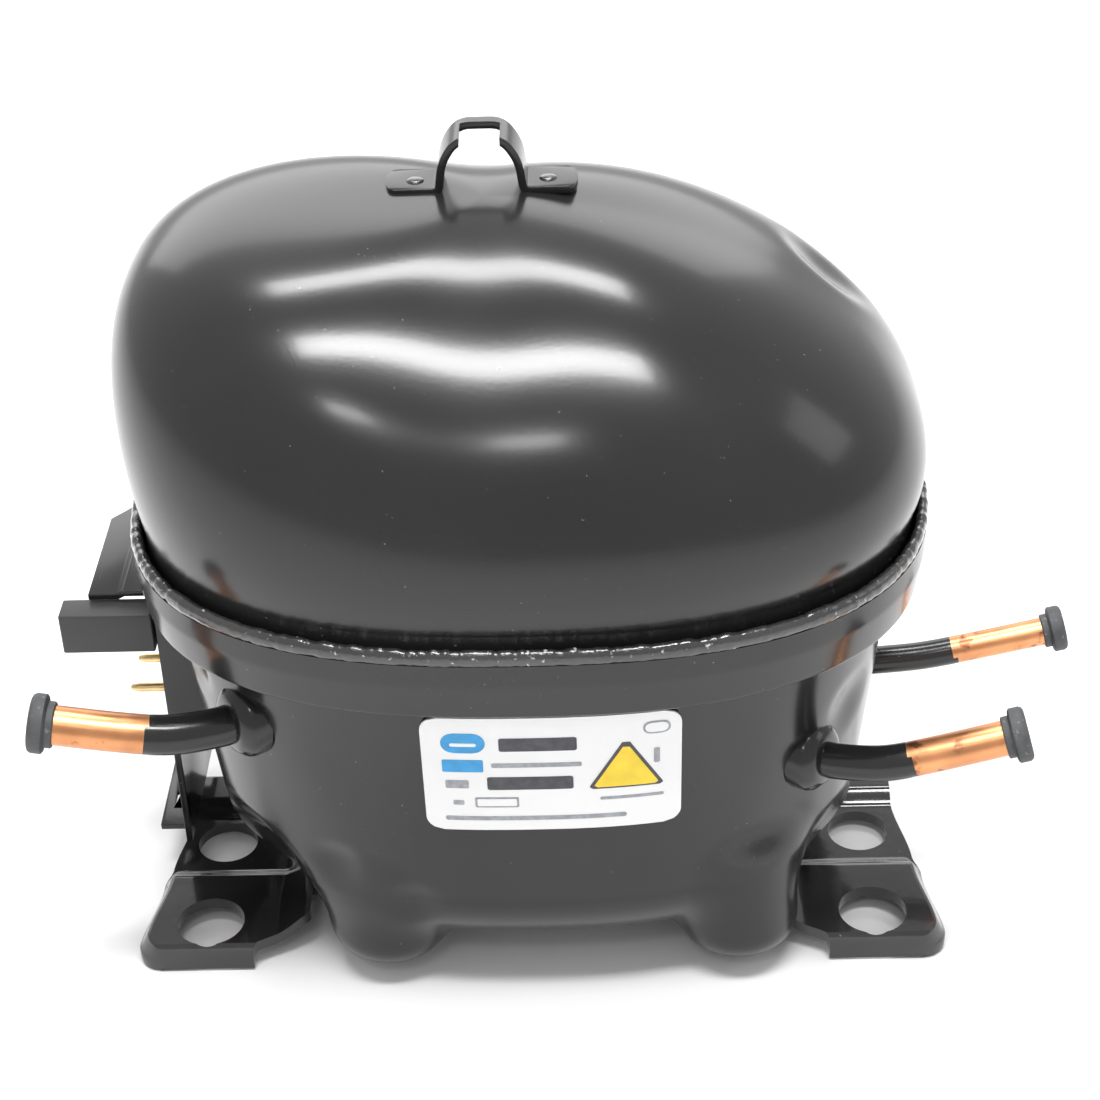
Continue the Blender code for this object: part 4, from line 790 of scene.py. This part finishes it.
for name, (radius, path, painted) in TUBES.items():
    stub = roll_tube(f"{name}_stub", path, radius, painted)
    stand_in(stub, "shell", "tube_copper", f"{name}_tube")
    start = path[0]
    way = (path[12] - path[0]).normalized()
    flare = [(radius + 4.5 * MM, 0.2 * MM), (radius + 4.5 * MM, 3.4 * MM), (radius + 4.1 * MM, 4.6 * MM),
             (radius + 3.2 * MM, 5.6 * MM), (radius + 2.2 * MM, 6.5 * MM), (radius + 1.2 * MM, 6.9 * MM),
             (radius + 0.1 * MM, 7 * MM)]
    boss = turned(f"{name}_collar", flare, start, way)
    smooth(boss, 50)
    coat_with(boss, PAINT)
    stand_in(boss, "shell", "shell_paint", f"{name}_tube_collar")
    out = (path[-1] - path[-2]).normalized()
    cap = radius + 2.2 * MM
    plug_profile = [
        (radius + 0.4 * MM, -3.4 * MM),
        (radius + 0.7 * MM, -3.1 * MM),
        (radius + 0.7 * MM, -1.7 * MM),
        (cap - 0.5 * MM, -1.5 * MM),
        (cap, -1.1 * MM),
        (cap, 1.2 * MM),
        (cap - 0.4 * MM, 1.9 * MM),
        (cap - 1.1 * MM, 2.2 * MM),
        (cap - 1.6 * MM, 1.8 * MM),
        (cap - 2.2 * MM, 1.7 * MM),
    ]
    plug = turned(f"{name}_plug", plug_profile, path[-1], out)
    smooth(plug, 40)
    coat_with(plug, RUBBER)
    stand_in(plug, "shell", "rubber", f"{name}_tube_plug")

# %% [markdown]
# ## Top bracket
# A strap of sheet steel bent into a hat, welded to the crown, holds the starter's cover. Its line is a few
# corners with a bend radius each, swept across its width. The notch for the cover's hook is punched out.

# %% Bend the strap
def bent_line(corners, radius, steps=6):
    """A line through the corners, each one rounded off."""
    line = [Vector(corners[0])]
    for before, here, after in zip(corners, corners[1:], corners[2:]):
        here = Vector(here)
        back = Vector(before) - here
        ahead = Vector(after) - here
        start = here + back.normalized() * min(radius, back.length / 2)
        end = here + ahead.normalized() * min(radius, ahead.length / 2)
        for k in range(steps + 1):
            t = k / steps
            line.append(start * (1 - t) ** 2 + here * 2 * t * (1 - t) + end * t ** 2)
    line.append(Vector(corners[-1]))
    return line


STRAP_LOW, STRAP_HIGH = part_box("top_bracket")
STRAP_GAUGE = 1.8 * MM
STRAP_MIDDLE = (STRAP_LOW[0] + STRAP_HIGH[0]) / 2
STRAP_FOOT_Z = STRAP_HIGH[2] - STRAP_GAUGE - 12.3 * MM
half = [(21.7, 0), (8.7, 0), (7.7, 7.6), (4.6, 12.3)]
corners = [(-x * MM, z * MM) for x, z in half] + [(x * MM, z * MM) for x, z in reversed(half)]
strap_line = bent_line(corners, 2.4 * MM)


def strap_skin(u, v):
    here = strap_line[min(len(strap_line) - 1, round(u * (len(strap_line) - 1)))]
    x = here.x
    if abs(x) > 12 * MM:
        x -= (1 if x > 0 else -1) * 2.2 * MM * (1 - sqrt(max(0, 1 - (2 * v - 1) ** 2)))
    y = STRAP_LOW[1] + (STRAP_HIGH[1] - STRAP_LOW[1]) * v
    return Vector((STRAP_MIDDLE + x, y, STRAP_FOOT_Z + here.y))


strap = pressed("bracket_strap", len(strap_line) - 1, 16, strap_skin)
face_up(strap)
apply(strap, "SOLIDIFY", thickness=STRAP_GAUGE, offset=1)
close_up(strap)
bpy.ops.object.select_all(action="DESELECT")
notch_size = (9 * MM, 12 * MM, 9 * MM)
notch_spot = (STRAP_MIDDLE, STRAP_HIGH[1] - 3 * MM - notch_size[1] / 2, STRAP_HIGH[2])
bpy.ops.mesh.primitive_cube_add(size=1, location=notch_spot, scale=notch_size)
notch = bpy.context.object
apply(strap, "BOOLEAN", operation="DIFFERENCE", object=notch)
bpy.data.objects.remove(notch)
apply(strap, "BEVEL", width=0.35 * MM, segments=2, limit_method="ANGLE", angle_limit=radians(50))
smooth(strap, 40)
coat_with(strap, PAINT)
stand_in(strap, "shell", "shell_paint", "top_bracket")
tack_profile = [(2.1 * MM, -0.6 * MM), (2.0 * MM, 0.15 * MM), (1.4 * MM, 0.45 * MM), (0.6 * MM, 0.55 * MM)]
for name, side in (("left", -1), ("right", 1)):
    spot = (STRAP_MIDDLE + side * 15 * MM, STRAP_LOW[1] + 5 * MM, STRAP_FOOT_Z + STRAP_GAUGE)
    tack = turned(f"weld_tack_{name}", tack_profile, spot)
    smooth(tack, 60)
    coat_with(tack, WELD_PAINT_AND_SPARKLE)
    stand_in(tack, "shell", "weld_paint")

# %% [markdown]
# ## Terminal fence and block
# These are a bent sheet and a moulded block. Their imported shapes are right, so each is copied, its facets are
# merged and cleaned, and its edges are rounded with a bevel, because a stamped edge is never knife sharp.

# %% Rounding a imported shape
def rounded_copy(name, node, width, segments, *materials):
    bpy.ops.object.select_all(action="DESELECT")
    source = bpy.data.objects[node]
    piece = bpy.data.objects.new(name, source.data.copy())
    bpy.context.scene.collection.objects.link(piece)
    close_up(piece)
    choose(piece)
    bpy.ops.object.mode_set(mode="EDIT")
    bpy.ops.mesh.select_all(action="SELECT")
    bpy.ops.mesh.dissolve_limited(angle_limit=radians(3))
    bpy.ops.object.mode_set(mode="OBJECT")
    apply(piece, "BEVEL", width=width, segments=segments, limit_method="ANGLE", angle_limit=radians(28))
    smooth(piece, 40)
    coat_with(piece, *materials)
    return piece


for name, node, width, material, slot in (
        ("fence_sheet", "terminal_fence", 0.3 * MM, PAINT, "shell_paint"),
        ("connector_block", "terminal_block", 0.5 * MM, PLASTIC, "black_plastic"),
        ("glass_seal", "terminal_glass", 0.3 * MM, GLASS, "terminal_glass"),
        ("header_cup", "terminal_cup", 0.3 * MM, ZINC, "terminal_steel")):
    stand_in(rounded_copy(name, node, width, 3, material), "shell", slot, node)

# %% Terminal pins
for k in (1, 2, 3):
    low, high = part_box(f"terminal_pin_{k}")
    radius = (high[2] - low[2]) / 2
    length = high[0] - low[0]
    root = (high[0], (low[1] + high[1]) / 2, (low[2] + high[2]) / 2)
    pin_profile = [(radius, 0), (radius, length - 2.2 * MM), (radius * 0.93, length - 1.5 * MM),
                   (radius * 0.7, length - 0.3 * MM), (radius * 0.45, length)]
    pin = turned(f"pin_{k}", pin_profile, root, (-1, 0, 0), 32)
    smooth(pin, 40)
    coat_with(pin, BRASS)
    stand_in(pin, "shell", "pin_brass", f"terminal_pin_{k}")

# %% [markdown]
# ## Springs
# Four coil springs carry the pump. Each stands in its pocket and holds the pump's bolt above. The wire is a
# grid rolled round a helix, drawn to a point at both ends to close it, and its end turns lie nearly flat.

# %% Wind the springs
SPRING_TURNS = 4
SPRING_WIRE = 0.9 * MM


def coil_point(v, middle, reach, bottom, top):
    """A point of the coil. The first and last turns rise by little more than the wire."""
    angle = 2 * pi * SPRING_TURNS * v
    flat = 2.2 * SPRING_WIRE
    turn = v * SPRING_TURNS
    if turn < 1:
        z = bottom + flat * turn
    elif turn > SPRING_TURNS - 1:
        z = top - flat * (SPRING_TURNS - turn)
    else:
        z = bottom + flat + (top - bottom - 2 * flat) * (turn - 1) / (SPRING_TURNS - 2)
    return Vector((middle[0] + reach * cos(angle), middle[1] + reach * sin(angle), z))


def wind_spring(name, low, high):
    middle = ((low[0] + high[0]) / 2, (low[1] + high[1]) / 2)
    reach = (high[0] - low[0]) / 2 - SPRING_WIRE
    bottom, top = low[2] + SPRING_WIRE, high[2] - SPRING_WIRE

    def shape(u, v):
        here = coil_point(v, middle, reach, bottom, top)
        out = Vector((here.x - middle[0], here.y - middle[1], 0)).normalized()
        wire = SPRING_WIRE * sqrt(max(0, 1 - max(0, abs(2 * v - 1) - 0.99) ** 2 / 0.01 ** 2))
        return here + (out * cos(2 * pi * u) + Vector((0, 0, 1)) * sin(2 * pi * u)) * wire

    spring = pressed(name, 16, 240, shape)
    smooth(spring, 60)
    coat_with(spring, STEEL)
    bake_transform(spring)
    return spring


for k in (1, 2, 3, 4):
    spring = wind_spring(f"coil_{k}", *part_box(f"spring_{k}"))
    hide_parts(f"spring_{k}")
    print(spring.name, len(spring.data.polygons), "faces")

# %% [markdown]
# ## Pump and motor
# The inside is sealed in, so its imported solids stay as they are. Each still gets the finish of its metal, so
# that an opened shell shows cast iron, stacked sheets, enamelled wire and bright steel.

# %% Finishes of the inner pieces
INNER = {
    "crankcase": IRON, "crankshaft": STEEL, "oil_pickup": STEEL, "oil_gallery_plug": BRASS,
    "rotor": ALUMINIUM, "stator_core": LAMINATION, "upper_winding": WINDING, "lower_winding": WINDING,
    "piston": STEEL,
    "slide_block": IRON, "valve_gasket": GASKET, "suction_reed": STEEL, "valve_plate": STEEL,
    "discharge_reed": STEEL, "cylinder_head": ALUMINIUM, "suction_muffler": POLYMER,
    "discharge_muffler": STEEL, "discharge_loop": COPPER,
}
for group, count, material in (("motor_bolt", 4, STEEL), ("spring_seat", 4, POLYMER),
                               ("head_bolt", 4, STEEL)):
    for k in range(1, count + 1):
        INNER[f"{group}_{k}"] = material
for node, material in INNER.items():
    inner = bpy.data.objects[node]
    if not inner.material_slots:
        inner.data.materials.append(material)
    for slot in inner.material_slots:
        slot.material = material
print(len(INNER), "inner pieces finished")

# %% [markdown]
# ## Floor
# A plain pale floor stands for the studio sweep. It isn't part of the object.

# %% Floor
bpy.ops.object.select_all(action="DESELECT")
bpy.ops.mesh.primitive_plane_add(size=8, location=(0, 0, 0))
floor = bpy.context.object
floor.name = "floor"
coat_with(floor, finish("studio_floor", (0.86, 0.86, 0.86), 0.7, drift=0.01, drift_size=0.4))
